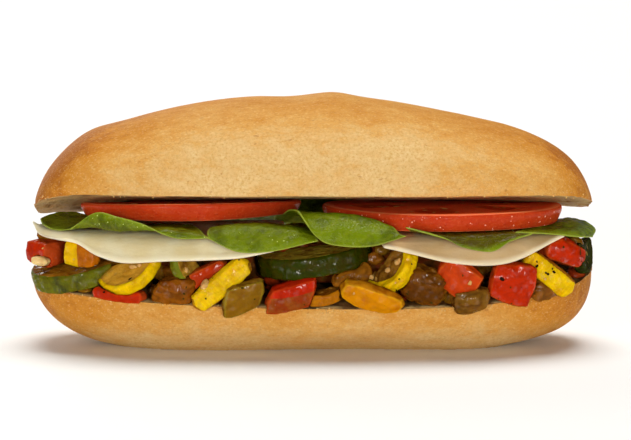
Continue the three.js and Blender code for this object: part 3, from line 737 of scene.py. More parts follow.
def cheese_looks(name, tint):
    paint = Paint(name, Roughness=0.42, Subsurface_Weight=0.35, Subsurface_Scale=0.004)
    paint.set("Subsurface Radius", (1, 0.8, 0.45))
    paint.oiled(0.15, 0.3)
    where = paint.place()
    warm = tuple(value * factor for value, factor in zip(tint, (0.97, 0.94, 0.87)))
    base = paint.over(colour(tint), warm, paint.mask(paint.noise(where, 9, 3), 0.35, 0.7))
    paint.set("Base Color", paint.over(base, CHEESE_EDGE, paint.attribute("edge"), 0.5))
    fine = paint.bump(paint.noise(where, 0.8, 2), 0.06)
    paint.relief(paint.bump(paint.noise(paint.place((3, 1, 1)), 3, 2), 0.3, fine))
    return paint.material


LEAVES = {
    "leaf_tip_left": [
        [[-95, -8, 45.4], [-90.5, -3, 46.6], [-84.5, -3, 46.6], [-78, -8, 45.5]],
        [[-95.9, -11, 45], [-91.5, -12, 44.6], [-84, -15, 44.4], [-76, -18, 44.6]],
        [[-94.9, -15, 43.7], [-90.8, -19.5, 42.4], [-85, -24, 42.8], [-77, -27, 45.6]],
    ],
    "leaf_left": [
        [
            [-80, -18, 43.4], [-72, -19, 44.2], [-65, -20, 44.1], [-57, -20, 44.1], [-49, -20, 44.1],
            [-42, -22, 44.2],
        ],
        [
            [-82.5, -24, 43.2], [-75.5, -29, 44.4], [-68, -31, 44.4], [-59, -32, 44.6], [-49, -34, 45],
            [-39, -36, 44.6],
        ],
        [
            [-83.6, -27, 43.2], [-76.2, -34, 46.2], [-68.6, -38, 44.6], [-59, -39.5, 44.4],
            [-49, -42.5, 44.6], [-36.5, -43, 43.2],
        ],
        [
            [-84, -28.4, 43.4], [-74.6, -35, 50], [-66.5, -39, 49], [-58, -41, 46.8], [-47, -44.5, 42.4],
            [-34.6, -44, 42.2],
        ],
    ],
    "leaf_middle": [
        [[-33, -24, 43.8], [-22, -22, 43.9], [-10, -22, 43.8], [5, -26, 42.8]],
        [[-35, -38, 45], [-25, -38, 46.4], [-13, -38, 46.2], [2, -39, 43.4]],
        [[-35.8, -42.4, 43.8], [-25.5, -44, 43.2], [-14, -44, 43], [2, -43.4, 42]],
        [[-35.2, -44, 42], [-25.5, -46, 37.8], [-13.5, -46, 37.9], [2.2, -44.6, 41.4]],
    ],
    "leaf_curl": [
        [[-10, -26, 48.6], [-2, -27, 47.6], [8, -28, 44.4], [18, -32, 43.6], [27, -34, 43.5]],
        [[-8, -34, 50.8], [-2.4, -36, 50], [8, -37, 50], [18, -38.6, 48.8], [28, -41, 45.6]],
        [[-5.4, -40, 51.4], [-0.6, -43.4, 47], [8.4, -44.6, 45.4], [18.6, -44.6, 44.6], [30, -43.8, 43.8]],
        [[-3.8, -43, 50.2], [2.4, -46, 42.2], [9.4, -47, 39.9], [20.6, -47, 39.8], [32.4, -44.4, 43]],
    ],
    "leaf_hanging": [
        [[36, -26, 43.3], [46, -24, 43.3], [57, -24, 43.3], [70, -24, 43.3]],
        [[34, -40, 44.2], [45, -41, 43.2], [57, -40, 43.1], [70, -35, 43.2]],
        [[32.6, -43, 45.3], [44.6, -43.8, 42.8], [57.6, -43, 40.2], [73, -37, 42.6]],
        [
            [32, -43.6, 45.9], [39, -44.2, 44.1], [46, -44.2, 42], [52, -44.2, 39],
            [61.5, -43.2, 37.5], [68, -40.2, 40.6], [76, -37, 43],
        ],
    ],
    "leaf_tip_right": [
        [[76, -14, 43.3], [84, -4, 43.4], [92, 3, 43.8], [98, 2, 42.8]],
        [[73, -28, 43.2], [83, -18, 43.4], [92.5, -10, 43.2], [101, -3, 40.6]],
        [[70, -37, 43.4], [82, -33, 42.4], [92.6, -25, 40.4], [99, -13, 38.9]],
    ],
    "leaf_back_left": [
        [[-66, 19, 42], [-50, 19, 42], [-32, 19, 42.1], [-12, 20, 43.2]],
        [[-68, 29, 41], [-53, 35, 40.6], [-33, 36, 40.8], [-13, 32, 43.8]],
        [[-65, 35, 39.2], [-53, 41, 38], [-33, 43, 37.2], [-14, 40.6, 37.6]],
    ],
    "leaf_back_middle": [
        [[-11, 21, 44.6], [-3, 18, 44.4], [6, 18, 43.8], [14, 22, 43.4]],
        [[-15, 32, 47.2], [-5, 31, 48], [6, 31, 48], [17, 32, 47.6]],
        [[-18, 39.4, 43], [-5, 41.4, 44.4], [5, 41.4, 44], [16, 39.6, 42.4]],
        [[-17, 43, 37], [-4, 45.4, 37], [4, 45.4, 37.2], [14, 43, 38.4]],
    ],
    "leaf_back_right": [
        [[26, 19, 42.3], [40, 19, 42.3], [54, 19, 42.3], [66, 18, 42.4]],
        [[24, 33, 40.7], [40, 36, 40], [55, 35, 40.1], [70, 28, 41]],
        [[25, 38, 39.8], [40, 42, 38.6], [57, 40, 38.2], [72, 31.5, 39.6]],
    ],
}
LEAF_THICK = 0.55
# Painted shade: how much darker a leaf is painted away from its front edge, where the tomato and the roll
# above it shade it.
PAINTED_LEAF_SHADE = {"leaf_hanging": 0.8, "leaf_tip_left": 0.35, "leaf_left": 0.3, "leaf_middle": 0.15}
MIDRIB = 0.42  # where the midrib starts between the back and the front edge, and how it slants
MIDRIB_SLANT = 0.16
VEIN_SLANT = 0.8
VEIN_SPACING = 6.5
VEIN_WIDTH = 0.5
LEAF_STEP = (0.42, 0.45)  # the size of its mesh along and across


def leaf(name, rows, looks):
    """A spinach leaf: its midrib runs along u, its side veins slant off it, with puckers between."""
    rows = [np.array(row, float) for row in rows]
    length = np.linalg.norm(rows[-1][-1] - rows[-1][0])
    depth = sum(np.linalg.norm(b[len(b) // 2] - a[len(a) // 2]) for a, b in zip(rows, rows[1:]))
    seed = len(name) + int(length)

    def veins(u, v):
        off = (v - MIDRIB - MIDRIB_SLANT * u) * depth
        run = (u * length + VEIN_SLANT * np.abs(off)) / VEIN_SPACING
        near = np.abs(run - np.round(run)) * VEIN_SPACING * 0.78
        return np.maximum(bell(off, 0, VEIN_WIDTH), 0.7 * bell(near, 0, VEIN_WIDTH)), near

    def thick(u, v):
        rim = np.minimum(np.minimum(u, 1 - u) * length, np.minimum(v, 1 - v) * depth) / 0.5
        return LEAF_THICK * (0.4 + 0.6 * np.sqrt(np.clip(rim, 0, 1)))

    def from_edge(u, v):
        return np.minimum(np.minimum(u, 1 - u) * length, (1 - v) * depth)

    def lift(u, v, face):
        ruffle = 0.4 * np.sin(9 * u + 1.2) * np.sin(np.pi * v) * v * v
        line, near = veins(u, v)
        lumps = rough_noise(face.reshape(-1, 3), 7, seed, 2).reshape(u.shape)
        return ruffle + ease(from_edge(u, v), 0, 3) * (0.12 * ease(near, 0, 3) - 0.1 * line + 0.35 * lumps)

    along, across = int(length / LEAF_STEP[0]), int(depth / LEAF_STEP[1])
    points, faces, u, v = sheet(rows, along, across, thick, lift)
    # Painted shade, darker back from the front edge.
    bruise = ease(v, 0.97, 0.72) * PAINTED_LEAF_SHADE.get(name, 0)
    attributes = {"vein": veins(u, v)[0], "edge": ease(from_edge(u, v), 0.9, 0.2), "bruise": bruise}
    finish_piece(name, mesh_of(name, points, faces), "spinach", looks, attributes)


LEAF_GREEN = (108, 128, 2)
LEAF_DARK = (68, 84, 0)
LEAF_LIGHT = (134, 148, 24)
LEAF_VEIN = (146, 154, 30)
LEAF_EDGE = (170, 180, 70)
# The colour of the painted shade on a leaf.
LEAF_SHADE_COLOUR = (70, 46, 4)


def leaf_looks():
    paint = Paint("spinach", Roughness=0.36, Subsurface_Weight=0.15, Subsurface_Scale=0.001)
    paint.set("Subsurface Radius", (0.5, 1, 0.2))
    paint.oiled(0.6, 0.16)
    where = paint.place()
    base = paint.over(colour(LEAF_DARK), LEAF_GREEN, paint.mask(paint.noise(where, 7, 3, 0.6), 0.35, 0.6))
    base = paint.over(base, LEAF_LIGHT, paint.noise(where, 1.2, 2), 0.3)
    # Painted shade over the green; the veins fade out under it.
    base = paint.over(base, LEAF_SHADE_COLOUR, paint.attribute("bruise"))
    unshaded = paint.spread(paint.attribute("bruise"), 0.3, 0.12)
    base = paint.over(base, LEAF_VEIN, paint.attribute("vein"), unshaded)
    paint.set("Base Color", paint.over(base, LEAF_EDGE, paint.attribute("edge"), 0.5))
    net = paint.cells(where, 1.3, "DISTANCE_TO_EDGE")
    fine = paint.bump(paint.mask(net, 0, 0.12), 0.07)
    paint.relief(paint.bump(paint.noise(where, 3, 3, 0.6), 0.9, fine))
    return paint.material


# Roasted vegetables: each keeps the form of its solid, finely meshed and worn

# Each half round: its disc's radius, centre and turns about X, Y and Z.
HALF_ROUNDS = {
    "squash_half_left": (13, [-63.5, -32, 27.3], [48, -20, -20]),
    "squash_half_middle": (12, [28.8, -35.7, 29.4], [48, -48, -10]),
    "zucchini_left": (21, [-83.6, -19.4, 26.4], [16, -7, -30]),
    "zucchini_middle": (20.4, [0.6, -33, 32.7], [6, -8, 0]),
    "zucchini_small": (10, [-43.6, -34.4, 30.6], [52, 62, 0]),
    "squash_half_low": (9, [3.6, -36.4, 20.8], [16, -8, 0]),
    "zucchini_end_right": (12, [95.4, -12, 31.6], [80, 0, 74]),
}

# Each block: its size, centre and turns.
BLOCKS = {
    "garlic_left": ([7, 4, 3.6], [-95.2, -17.5, 31.1], [0, 4, -20]),
    "squash_strip_left": ([25, 6, 8], [-31, -38.7, 25.7], [10, -40, 0]),
    "squash_strip_right": ([23.5, 5.4, 7.6], [82, -28.6, 28.3], [12, 38, 20]),
    "red_pepper_right": ([17, 5, 15], [69.4, -33.4, 25.3], [8, 12, 12]),
    "red_pepper_middle": ([16, 6, 12.4], [50.6, -36.7, 27.6], [14, 36, 0]),
    "red_pepper_low": ([18, 8, 10], [-7.4, -37.9, 21.6], [14, -14, 0]),
    "green_pepper_low": ([15, 5, 10.5], [-23.6, -40.1, 21.2], [16, -18, 4]),
    "orange_pepper_low": ([23.5, 6, 8.8], [20.8, -38.9, 21], [24, 16, 0]),
    "red_pepper_end_right": ([20, 10, 9], [87, -21.5, 35.3], [10, 20, 34]),
    "red_pepper_end_left": ([14, 12, 9], [-93.6, -11.5, 33.4], [0, 4, -50]),
    "squash_end_left": ([14, 6, 10], [-80, -25.6, 34.6], [0, 4, -30]),
    "eggplant_low": ([13, 9, 8.4], [54.8, -35.3, 20.1], [8, -8, 0]),
    "eggplant_middle": ([16, 11, 12.6], [38.8, -34.4, 24.9], [10, 20, 0]),
    "onion_left": ([14, 5, 11], [-47.8, -35.2, 22.6], [14, 6, 0]),
    "red_pepper_strip": ([22, 6, 6.4], [-38.6, -35.6, 27.5], [10, -28, -6]),
    "red_pepper_bottom": ([20, 7, 5], [-67, -31, 21.1], [0, 6, -16]),
    "onion_middle": ([14, 6, 7], [14, -33.4, 27.6], [0, -24, 10]),
    "eggplant_end_right": ([12, 9, 8], [80.4, -25.4, 22.4], [0, -14, 28]),
    "eggplant_right": ([9, 8, 7], [74, -28.5, 34.8], [0, 20, 20]),
    "onion_end_left": ([10, 8, 4], [-92, -9, 39.4], [0, -8, -40]),
}

# The row along the far side is set out by the source's own rule: a half round's radius or a block's size.
BACK_ROW = [
    ("zucchini", 12),
    ("red_pepper", [15, 10, 5]),
    ("squash", 11),
    ("eggplant", [12, 11, 6.4]),
    ("orange_pepper", [15, 9, 5]),
]
BACK_COUNT = 11
BACK_ARC = 150  # degrees of the roll's outline that the row takes
BACK_REACH = 0.93  # how far along the roll the row goes, as a share of its half length
BACK_INSET = 5.5  # how far the row stands in from the roll's edge
BACK_TOP = 38.6
BACK_SEED = 11


def seeded(state):
    """The source's generator of numbers from 0 to 1."""
    while True:
        state = (state * 1664525 + 1013904223) % 4294967296
        yield state / 4294967296


def add_back_row():
    draw = seeded(BACK_SEED)
    for i in range(BACK_COUNT):
        kind, size = BACK_ROW[i % len(BACK_ROW)]
        angle = math.radians(90 - BACK_ARC / 2 + BACK_ARC * i / (BACK_COUNT - 1))
        x = BACK_REACH * HALF_LENGTH * float(signed_power(math.cos(angle), 0.82))
        y = max(2, float(half_width(x)) - BACK_INSET)
        outwards = math.degrees(math.atan2(HALF_WIDTH * math.sin(angle), x * 0.25)) - 90
        z = (float(lower_cut(x, y)) + BACK_TOP) / 2 + next(draw)
        turns = [8 - 16 * next(draw), 10 - 20 * next(draw), 180 + outwards + 16 * next(draw)]
        pieces = BLOCKS if isinstance(size, list) else HALF_ROUNDS
        pieces[f"{kind}_back_{i + 1}"] = (size, [x, y, z], turns)


VOXEL = 0.5  # the even mesh size of the remeshed pieces
CORE_VOXEL = 0.9
SOFT_SMOOTHING = 12  # how many times a form is smoothed
FIRM_SMOOTHING = 5
CORE_SMOOTHING = 3


def remeshed(node, voxel, smoothing):
    """An evenly meshed copy of a solid's form with its edges worn round."""
    copy = bpy.data.objects.new("form", nodes[node].data.copy())
    scene.collection.objects.link(copy)
    remesh = copy.modifiers.new("remesh", "REMESH")
    remesh.mode = "VOXEL"
    remesh.voxel_size = voxel * MM
    smooth = copy.modifiers.new("smooth", "SMOOTH")
    smooth.factor = 0.5
    smooth.iterations = smoothing
    bpy.context.view_layer.update()
    finished = copy.evaluated_get(bpy.context.evaluated_depsgraph_get())
    mesh = bpy.data.meshes.new_from_object(finished)
    bpy.data.objects.remove(copy)
    return mesh


def own_axes(turns):
    return np.array(Euler([math.radians(t) for t in turns], "XYZ").to_matrix())


def worn_form(name, centre, turns):
    """A piece's evenly meshed form, its points, and the same points in the piece's own axes."""
    mesh = remeshed(name, VOXEL, SOFT_SMOOTHING if kind_of(name) in SOFT_KINDS else FIRM_SMOOTHING)
    points = points_of(mesh)
    return mesh, points, (points - np.array(centre)) @ own_axes(turns)


# What shows on each kind: its skin, its flesh and its browned flesh, how deep it's wrinkled and how deep it's
# dented in millimetres. All are oiled, garlic thinly.
KINDS = {
    "zucchini": {
        "skin": (58, 64, 6), "flesh": (150, 112, 20), "brown": (104, 62, 8), "wear": 0.3, "dent": 1,
    },
    "squash": {
        "skin": (224, 184, 4), "flesh": (188, 134, 30), "brown": (140, 84, 10), "wear": 0.2, "dent": 0.6,
    },
    "red_pepper": {
        "skin": (182, 40, 4), "flesh": (172, 64, 22), "brown": (140, 42, 8), "wear": 0.1, "dent": 1.2,
    },
    "orange_pepper": {
        "skin": (208, 134, 4), "flesh": (204, 132, 18), "brown": (160, 84, 6), "wear": 0.1, "dent": 1,
    },
    "green_pepper": {
        "skin": (136, 96, 14), "flesh": (144, 104, 24), "brown": (96, 62, 8), "wear": 0.2, "dent": 0.9,
    },
    "eggplant": {
        "skin": (88, 58, 8), "flesh": (140, 96, 22), "brown": (72, 38, 4), "wear": 0.9, "dent": 1.5,
    },
    "onion": {
        "skin": (146, 92, 18), "flesh": (140, 84, 16), "brown": (88, 46, 6), "wear": 0.4, "dent": 1.3,
    },
    "garlic": {
        "skin": (232, 200, 138), "flesh": (226, 192, 126), "brown": (188, 138, 66), "wear": 0.5, "dent": 1,
        "oil": 0.3,
    },
}
# Where a single piece differs from its kind
TINTS = {
    "zucchini_left": {"skin": (96, 98, 12), "skin_dark": (58, 62, 28), "flesh": (156, 104, 22)},
    "zucchini_middle": {"skin": (44, 52, 2), "flesh": (168, 142, 44), "brown": (124, 88, 20)},
    "zucchini_small": {"skin": (106, 112, 20), "flesh": (180, 138, 44)},
    "zucchini_end_right": {"skin": (38, 44, 8), "flesh": (48, 50, 14), "brown": (36, 32, 8), "oil": 0.3},
    "squash_end_left": {"skin": (226, 178, 8), "flesh": (186, 104, 6), "brown": (160, 84, 6)},
    "squash_strip_left": {"skin": (228, 186, 12), "flesh": (206, 146, 34)},
    "onion_left": {"skin": (138, 78, 10), "flesh": (118, 66, 8), "brown": (86, 44, 4)},
    "squash_strip_right": {"flesh": (160, 96, 18)},
    "squash_half_middle": {"flesh": (136, 92, 26), "brown": (80, 46, 8), "wear": 0.9},
    "squash_half_left": {"flesh": (208, 156, 50), "brown": (194, 138, 36)},
    "squash_half_low": {"skin": (176, 110, 10), "flesh": (110, 70, 16), "wear": 0.5},
    "red_pepper_low": {"skin": (186, 36, 6), "flesh": (146, 74, 22)},
    "red_pepper_middle": {"skin": (192, 62, 14), "flesh": (178, 66, 30)},
    "red_pepper_right": {"dent": 2.2},
    "red_pepper_end_right": {"dent": 2.2},
    "red_pepper_strip": {"skin": (172, 50, 12), "flesh": (140, 66, 18)},
    "green_pepper_low": {"wear": 0.3},
    "eggplant_low": {"flesh": (152, 104, 32), "skin": (126, 86, 24), "wear": 0.4},
    "eggplant_end_right": {"flesh": (148, 92, 26), "skin": (136, 84, 22), "brown": (96, 54, 10)},
    "eggplant_middle": {"flesh": (146, 94, 18), "skin": (108, 62, 8), "brown": (80, 38, 4)},
}
# Which way a block's skin faces, in its own axes. The rest of it is cut flesh.
SKIN_SIDE = (0, -1, 0)
SKIN_SIDES = {
    "squash_strip_left": (0.1, -1, 0.5),
    "squash_strip_right": (0, -1, -0.4),
    "red_pepper_middle": (-0.2, -1, 0.5),
    "red_pepper_end_right": (0.2, -1, 0.7),
    "red_pepper_end_left": (-0.5, -1, 0.3),
    "orange_pepper_low": (0, -1, -0.3),
}
# Blocks whose front is part skin and part flesh: the way towards the skin, and where it starts as a
# share of the block's size.
SKIN_SPLITS = {"red_pepper_low": ((0.1, 0, 1), 0.08), "squash_end_left": ((-1, 0, 0), -0.02)}
RIND = 1.2  # how broad the skin is on a half round's face
RINDS = {"squash_half_middle": 3.6, "squash_half_left": 1.8}
TAPERS = {"orange_pepper_low": 0.5, "garlic_left": 0.3}  # how much narrower a block gets at its ends
SOFT_KINDS = ("eggplant", "onion")  # these are more out of true and more swollen than the firm ones
WARP = 0.9  # how far a soft piece is out of true, in millimetres
FIRM_WARP = 0.5
WARP_SIZE = 8
LUMP_SIZE = 3.2
WRINKLE_SIZE = 2.6
SWELL = 0.9  # how far a soft block's faces bulge in their middles
FIRM_SWELL = 0.4
SHRINK = 0.1  # how far each piece stands back from its solid's faces
BOX_LOW = np.array(cad_box[0]) / MM - SHIFT + SHRINK
BOX_HIGH = np.array(cad_box[1]) / MM - SHIFT - SHRINK


def kind_of(name):
    return next(kind for kind in KINDS if name.startswith(kind))


def traits_of(name):
    return {"oil": 1, **KINDS[kind_of(name)], **TINTS.get(name, {})}


def vegetable(name, mesh, points, local, turns, skin, seeds, push):
    """A roasted piece, wrinkled and out of true.

    skin and seeds say how much of each shows at each point, and push how far the point stands out.
    """
    kind = kind_of(name)
    seed = sum(map(ord, name)) % 97
    normals = normals_of(mesh)
    lumps = rough_noise(points, LUMP_SIZE, seed, 3)
    creases = ease(np.abs(rough_noise(local * [0.5, 1, 1], WRINKLE_SIZE, seed + 7, 2)), 0.3, 0)
    warp = (WARP if kind in SOFT_KINDS else FIRM_WARP) * rough_noise(points, WARP_SIZE, seed + 3, 2)
    worn = traits_of(name)["wear"] * (0.5 * lumps - 0.9 * creases) * (1 - 0.75 * skin)
    depth = worn + 0.05 * lumps + warp + push - SHRINK
    points = points + normals * depth[:, None]
    set_points(mesh, np.clip(points, BOX_LOW, BOX_HIGH))
    corner = ease(np.abs(normals @ own_axes(turns)).max(1), 0.94, 0.8)
    attributes = {"skin": skin, "seeds": seeds, "local": local, "crease": creases, "corner": corner}
    finish_piece(name, mesh, kind, vegetable_looks(name), attributes)


def half_round(name, radius, centre, turns):
    """Half a round slice: its skin is round the rim, its seeds lie in a band, its face has sunk a little."""
    mesh, points, local = worn_form(name, centre, turns)
    out = np.hypot(local[:, 0], local[:, 1] - radius / 2) / radius
    rind = RINDS.get(name, RIND)
    skin = ease(out, 1 - (rind + 0.3) / radius, 1 - (rind - 0.3) / radius)
    seeds = ease(out, 0.75, 0.6) * ease(out, 0.1, 0.25)
    sink = 0.5 * ease(out, 1 - 1 / radius, 1 - 2.6 / radius)
    vegetable(name, mesh, points, local, turns, skin, seeds, -sink)


def block(name, size, centre, turns):
    """A diced piece or strip: its skin is on one side, or splits its front, and its faces bulge."""
    mesh, points, local = worn_form(name, centre, turns)
    if name in TAPERS:
        local[:, 2] *= 1 - TAPERS[name] * np.minimum(np.abs(2 * local[:, 0] / size[0]), 1) ** 3
        points = local @ own_axes(turns).T + centre
        set_points(mesh, points)
    if name in SKIN_SPLITS:
        way, start = SKIN_SPLITS[name]
        wander = 0.05 * noise(points, 5, 3)
        skin = ease(local / size @ np.array(way) + wander, start, start + 0.08)
    else:
        way = np.array(SKIN_SIDES.get(name, SKIN_SIDE), float)
        facing = normals_of(mesh) @ own_axes(turns) @ (way / np.linalg.norm(way))
        skin = ease(facing, 0.25, 0.55)
    spare = 1 - np.sort(np.abs(local / size * 2), axis=1) ** 2
    bulge = SWELL if kind_of(name) in SOFT_KINDS else FIRM_SWELL
    swollen = bulge * np.clip(spare[:, 0], 0, 1) * np.clip(spare[:, 1], 0, 1)
    vegetable(name, mesh, points, local, turns, skin, 0.3 * (1 - skin), swollen)


PEPPER_GLOSS = 0.07  # how rough the oil's shine is
GLOSS = 0.12
OIL_IOR = 1.43
PATCH_SIZE = 2.4
SEED_SPACING = 2.4
PIP = (206, 162, 80)
PEPPER_SPECK = (38, 22, 8)
# The heap's colours: browns of roasted vegetables, darkened as painted shade for the gaps between the pieces.
HEAP_BROWNS_AND_SHADE = [(0.3, (46, 26, 8)), (0.45, (92, 52, 16)), (0.56, (120, 50, 18)), (0.7, (120, 84, 26))]


def darker(rgb, share):
    """A deeper tone of a colour that stays warm."""
    return tuple(value * part for value, part in zip(rgb, (share + 0.1, share, share - 0.1)))


def lighter(rgb, share, added=(0, 0, 0)):
    return tuple(min(255, value * share + more) for value, more in zip(rgb, added))


def skin_tone(paint, tint, kind, patches):
    """The skin, darker in patches, with light streaks round a zucchini or squash."""
    dark = tint.get("skin_dark", darker(tint["skin"], 0.8))
    skin = paint.over(colour(tint["skin"]), dark, paint.mask(patches, 0.45, 0.75))
    if kind in ("zucchini", "squash"):
        local = paint.attribute("local", "Vector")
        flat = paint.add("ShaderNodeVectorMath", {0: local, 1: (1, 1, 0.15)}, operation="MULTIPLY")
        streaks = paint.mask(paint.noise(flat, 0.8, 2, 0.6), 0.5, 0.7)
        skin = paint.over(skin, lighter(tint["skin"], 1.2), streaks, 0.3)
    return skin


def flesh_tone(paint, tint, patches, grain, seeded_flesh):
    """The cut flesh, browned in patches, with pips where it has seeds."""
    flesh = paint.over(colour(tint["flesh"]), tint["brown"], paint.mask(patches, 0.4, 0.7))
    flesh = paint.over(flesh, tint["brown"], paint.mask(grain, 0.45, 0.7), 0.3)
    if seeded_flesh:
        cells = paint.cells(paint.place((1, 1, 1.5)), SEED_SPACING)
        around = paint.times(paint.mask(cells, 0.36, 0.3), paint.attribute("seeds"))
        flesh = paint.over(flesh, tint["brown"], around, 0.4)
        pips = paint.times(paint.mask(cells, 0.26, 0.2), paint.attribute("seeds"))
        flesh = paint.over(flesh, PIP, pips, 0.4)
    return flesh


def vegetable_looks(name):
    kind, tint = kind_of(name), traits_of(name)
    pepper = "pepper" in kind
    paint = Paint(name, Roughness=0.4, Subsurface_Weight=0.15 if pepper else 0.4, Subsurface_Scale=0.003)
    paint.set("Subsurface Radius", (1, 0.5, 0.2))
    paint.oiled(tint["oil"], PEPPER_GLOSS if pepper else GLOSS, OIL_IOR)
    where = paint.place()
    paint.wet_patches(where, PATCH_SIZE, 0.12 * tint["oil"], tint["oil"])
    patches = paint.noise(where, 5, 3, 0.55)
    grain = paint.noise(where, 1.1, 3, 0.6)
    skin = skin_tone(paint, tint, kind, patches)
    flesh = flesh_tone(paint, tint, patches, grain, not pepper)
    edge = paint.mask(paint.sum(paint.attribute("skin"), paint.spread(grain, -0.12, 0.12)), 0.35, 0.65)
    base = paint.blend(edge, flesh, skin)
    if pepper:
        base = paint.over(base, lighter(tint["skin"], 1.08, (6, 34, 18)), paint.attribute("corner"), 0.5)
    # Darker in the creases: painted shade, and the browned juice that gathers in them.
    creased = 0.5 if kind in SOFT_KINDS else 0.2
    base = paint.over(base, darker(tint["brown"], 0.6), paint.attribute("crease"), creased)
    specks = paint.mask(paint.noise(where, 0.8, 1), 0.76, 0.8)
    paint.set("Base Color", paint.over(base, PEPPER_SPECK, specks, 0.5))
    fine = paint.bump(paint.noise(where, 1, 1), 0.1 if pepper else 0.22)
    paint.relief(paint.bump(paint.noise(where, 4, 1), tint["dent"], fine))
    return paint.material


def core():
    """The lumpy middle of the heap, in the browns of roasted vegetables, coloured dark as painted shade in
    the gaps between the pieces.
    """
    mesh = remeshed("vegetable_core", CORE_VOXEL, CORE_SMOOTHING)
    points = points_of(mesh)
    depth = 0.9 * rough_noise(points, 8, 80, 3) - 0.9
    set_points(mesh, points + normals_of(mesh) * depth[:, None])
    paint = Paint("roasted_mix", Roughness=0.4)
    paint.oiled(0.4, 0.15)
    where = paint.place()
    paint.wet_patches(where, PATCH_SIZE, 0.1, 0.8)
    paint.set("Base Color", paint.ramp(paint.noise(where, 6, 3, 0.6), *HEAP_BROWNS_AND_SHADE))
    paint.relief(paint.bump(paint.noise(where, 1.5, 3), 0.4))
    finish_piece("vegetable_core", mesh, "roasted_mix", paint.material, {})


# Everything in its place

crust = crust_looks()
bun_half("bun_upper", UPPER_REACH, upper_cut, crown, UPPER_FULLNESS, 1, crust, LEFT_PULL)
bun_half("bun_lower", HALF_LENGTH, lower_cut, keel, LOWER_FULLNESS, -1, crust)
wet_tomato = tomato_looks()
for name, values in TOMATOES.items():
    tomato_slice(name, *values, wet_tomato)
for name, rows in CHEESES.items():
    cheese_slice(name, rows)
green = leaf_looks()
for name, rows in LEAVES.items():
    leaf(name, rows, green)
add_back_row()
for name, values in HALF_ROUNDS.items():
    half_round(name, *values)
for name, values in BLOCKS.items():
    block(name, *values)
core()


# Small bits lying on the filling, each where a ray first meets a piece

BALL_RINGS = 9
BALL_AROUND = 14
STAND_OUT = 0.35  # how much of its half height a lump stands over the surface that it lies on


def ball():
    """A round lump's points and faces."""
    height = -np.cos(np.pi * np.arange(1, BALL_RINGS + 1) / (BALL_RINGS + 1))[:, None]
    angle = (-2 * np.pi * np.arange(BALL_AROUND) / BALL_AROUND)[None, :]
    wide = np.sqrt(1 - height**2)
    rings = np.broadcast_arrays(wide * np.cos(angle), wide * np.sin(angle), height)
    return loft(np.stack(rings, -1), [0, 0, -1], [0, 0, 1])


BALL_POINTS, BALL_FACES = ball()
graph = bpy.context.evaluated_depsgraph_get()
trees = {
    piece.name.removesuffix("_dressed"): BVHTree.FromObject(piece, graph)
    for piece in scene.objects if piece.name.endswith("_dressed")
}


def first_hit(start, way):
    """The place, outward direction and piece that a ray from start first meets, or None."""
    start = Vector((start + SHIFT) * MM)
    way = Vector(way).normalized()
    nearest = None
    for name, tree in trees.items():
        place, up, _, distance = tree.ray_cast(start, way)
        if place is not None and (nearest is None or distance < nearest[0]):
            nearest = (distance, place, up, name)
    if nearest is None:
        return None
    _, place, up, name = nearest
    return np.array(place) / MM - SHIFT, np.array(up), name


def seen_at(pixel):
    """What the camera sees at a pixel of the image."""
    right = (pixel[0] - IMAGE_WIDTH / 2) / PIXELS_PER_MM
    rise = (IMAGE_HEIGHT / 2 - pixel[1]) / PIXELS_PER_MM
    way = -VIEW_BACK * CAMERA_DISTANCE + VIEW_UP * rise + np.array([right, 0, 0])
    return first_hit(CAMERA_AIM + VIEW_BACK * CAMERA_DISTANCE, way)


RAY_REACH = 99
RAY_START = 80
RAY_FALL = 0.1


def side_hits(draw, rays, heights):
    """What seeded rays from in front and behind meet between two heights."""
    for number in range(rays):
        side = -1 if number % 2 else 1
        x = draw.uniform(-RAY_REACH, RAY_REACH)
        start = np.array([x, side * RAY_START, draw.uniform(*heights) + RAY_START * RAY_FALL])
        hit = first_hit(start, (0, -side, -RAY_FALL))
        if hit is not None:
            yield hit


def strew(name, slot, looks, lumps, rough):
    """One piece made of small lumps, each given as its middle, its half sizes and its outward direction."""
    points, faces = [], []
    for number, (place, size, up) in enumerate(lumps):
        uneven = rough * noise(BALL_POINTS * 1.6 + 7.7 * number, 1, number)
        form = BALL_POINTS * (1 + uneven)[:, None]
        turned = Vector(up).to_track_quat("Z", "Y").to_matrix() @ Euler((0, 0, 2.4 * number)).to_matrix()
        points.append(form * size @ np.array(turned).T + place)
        faces += [[corner + number * len(BALL_POINTS) for corner in face] for face in BALL_FACES]
    points = np.concatenate(points)
    none = np.zeros(len(points))
    attributes = {key: none for key in ("skin", "seeds", "crease", "corner")}
    finish_piece(name, mesh_of(name, points, faces), slot, looks, attributes)


# Chunks of the heap that fill the gaps between the large pieces
CHUNK_KINDS = ["onion", "eggplant", "red_pepper", "squash", "eggplant", "onion", "green_pepper"]
CHUNK_RAYS = 900
CHUNK_SPACING = 3.4
CHUNK_SIZE = (1.6, 3.2)
CHUNK_HEIGHTS = (15, 40)
CHUNK_SEED = 5
CHUNK_ROUGHNESS = 0.45
LEDGE = 3.5  # how far from the edge of the lower half the chunks on it keep
# A chunk that closes the gap under the right tip's leaf: its middle and half sizes.
END_CHUNK = (np.array([92.4, -13.5, 37]), np.array([2.8, 3, 2]))
END_CHUNK_KIND = "eggplant"


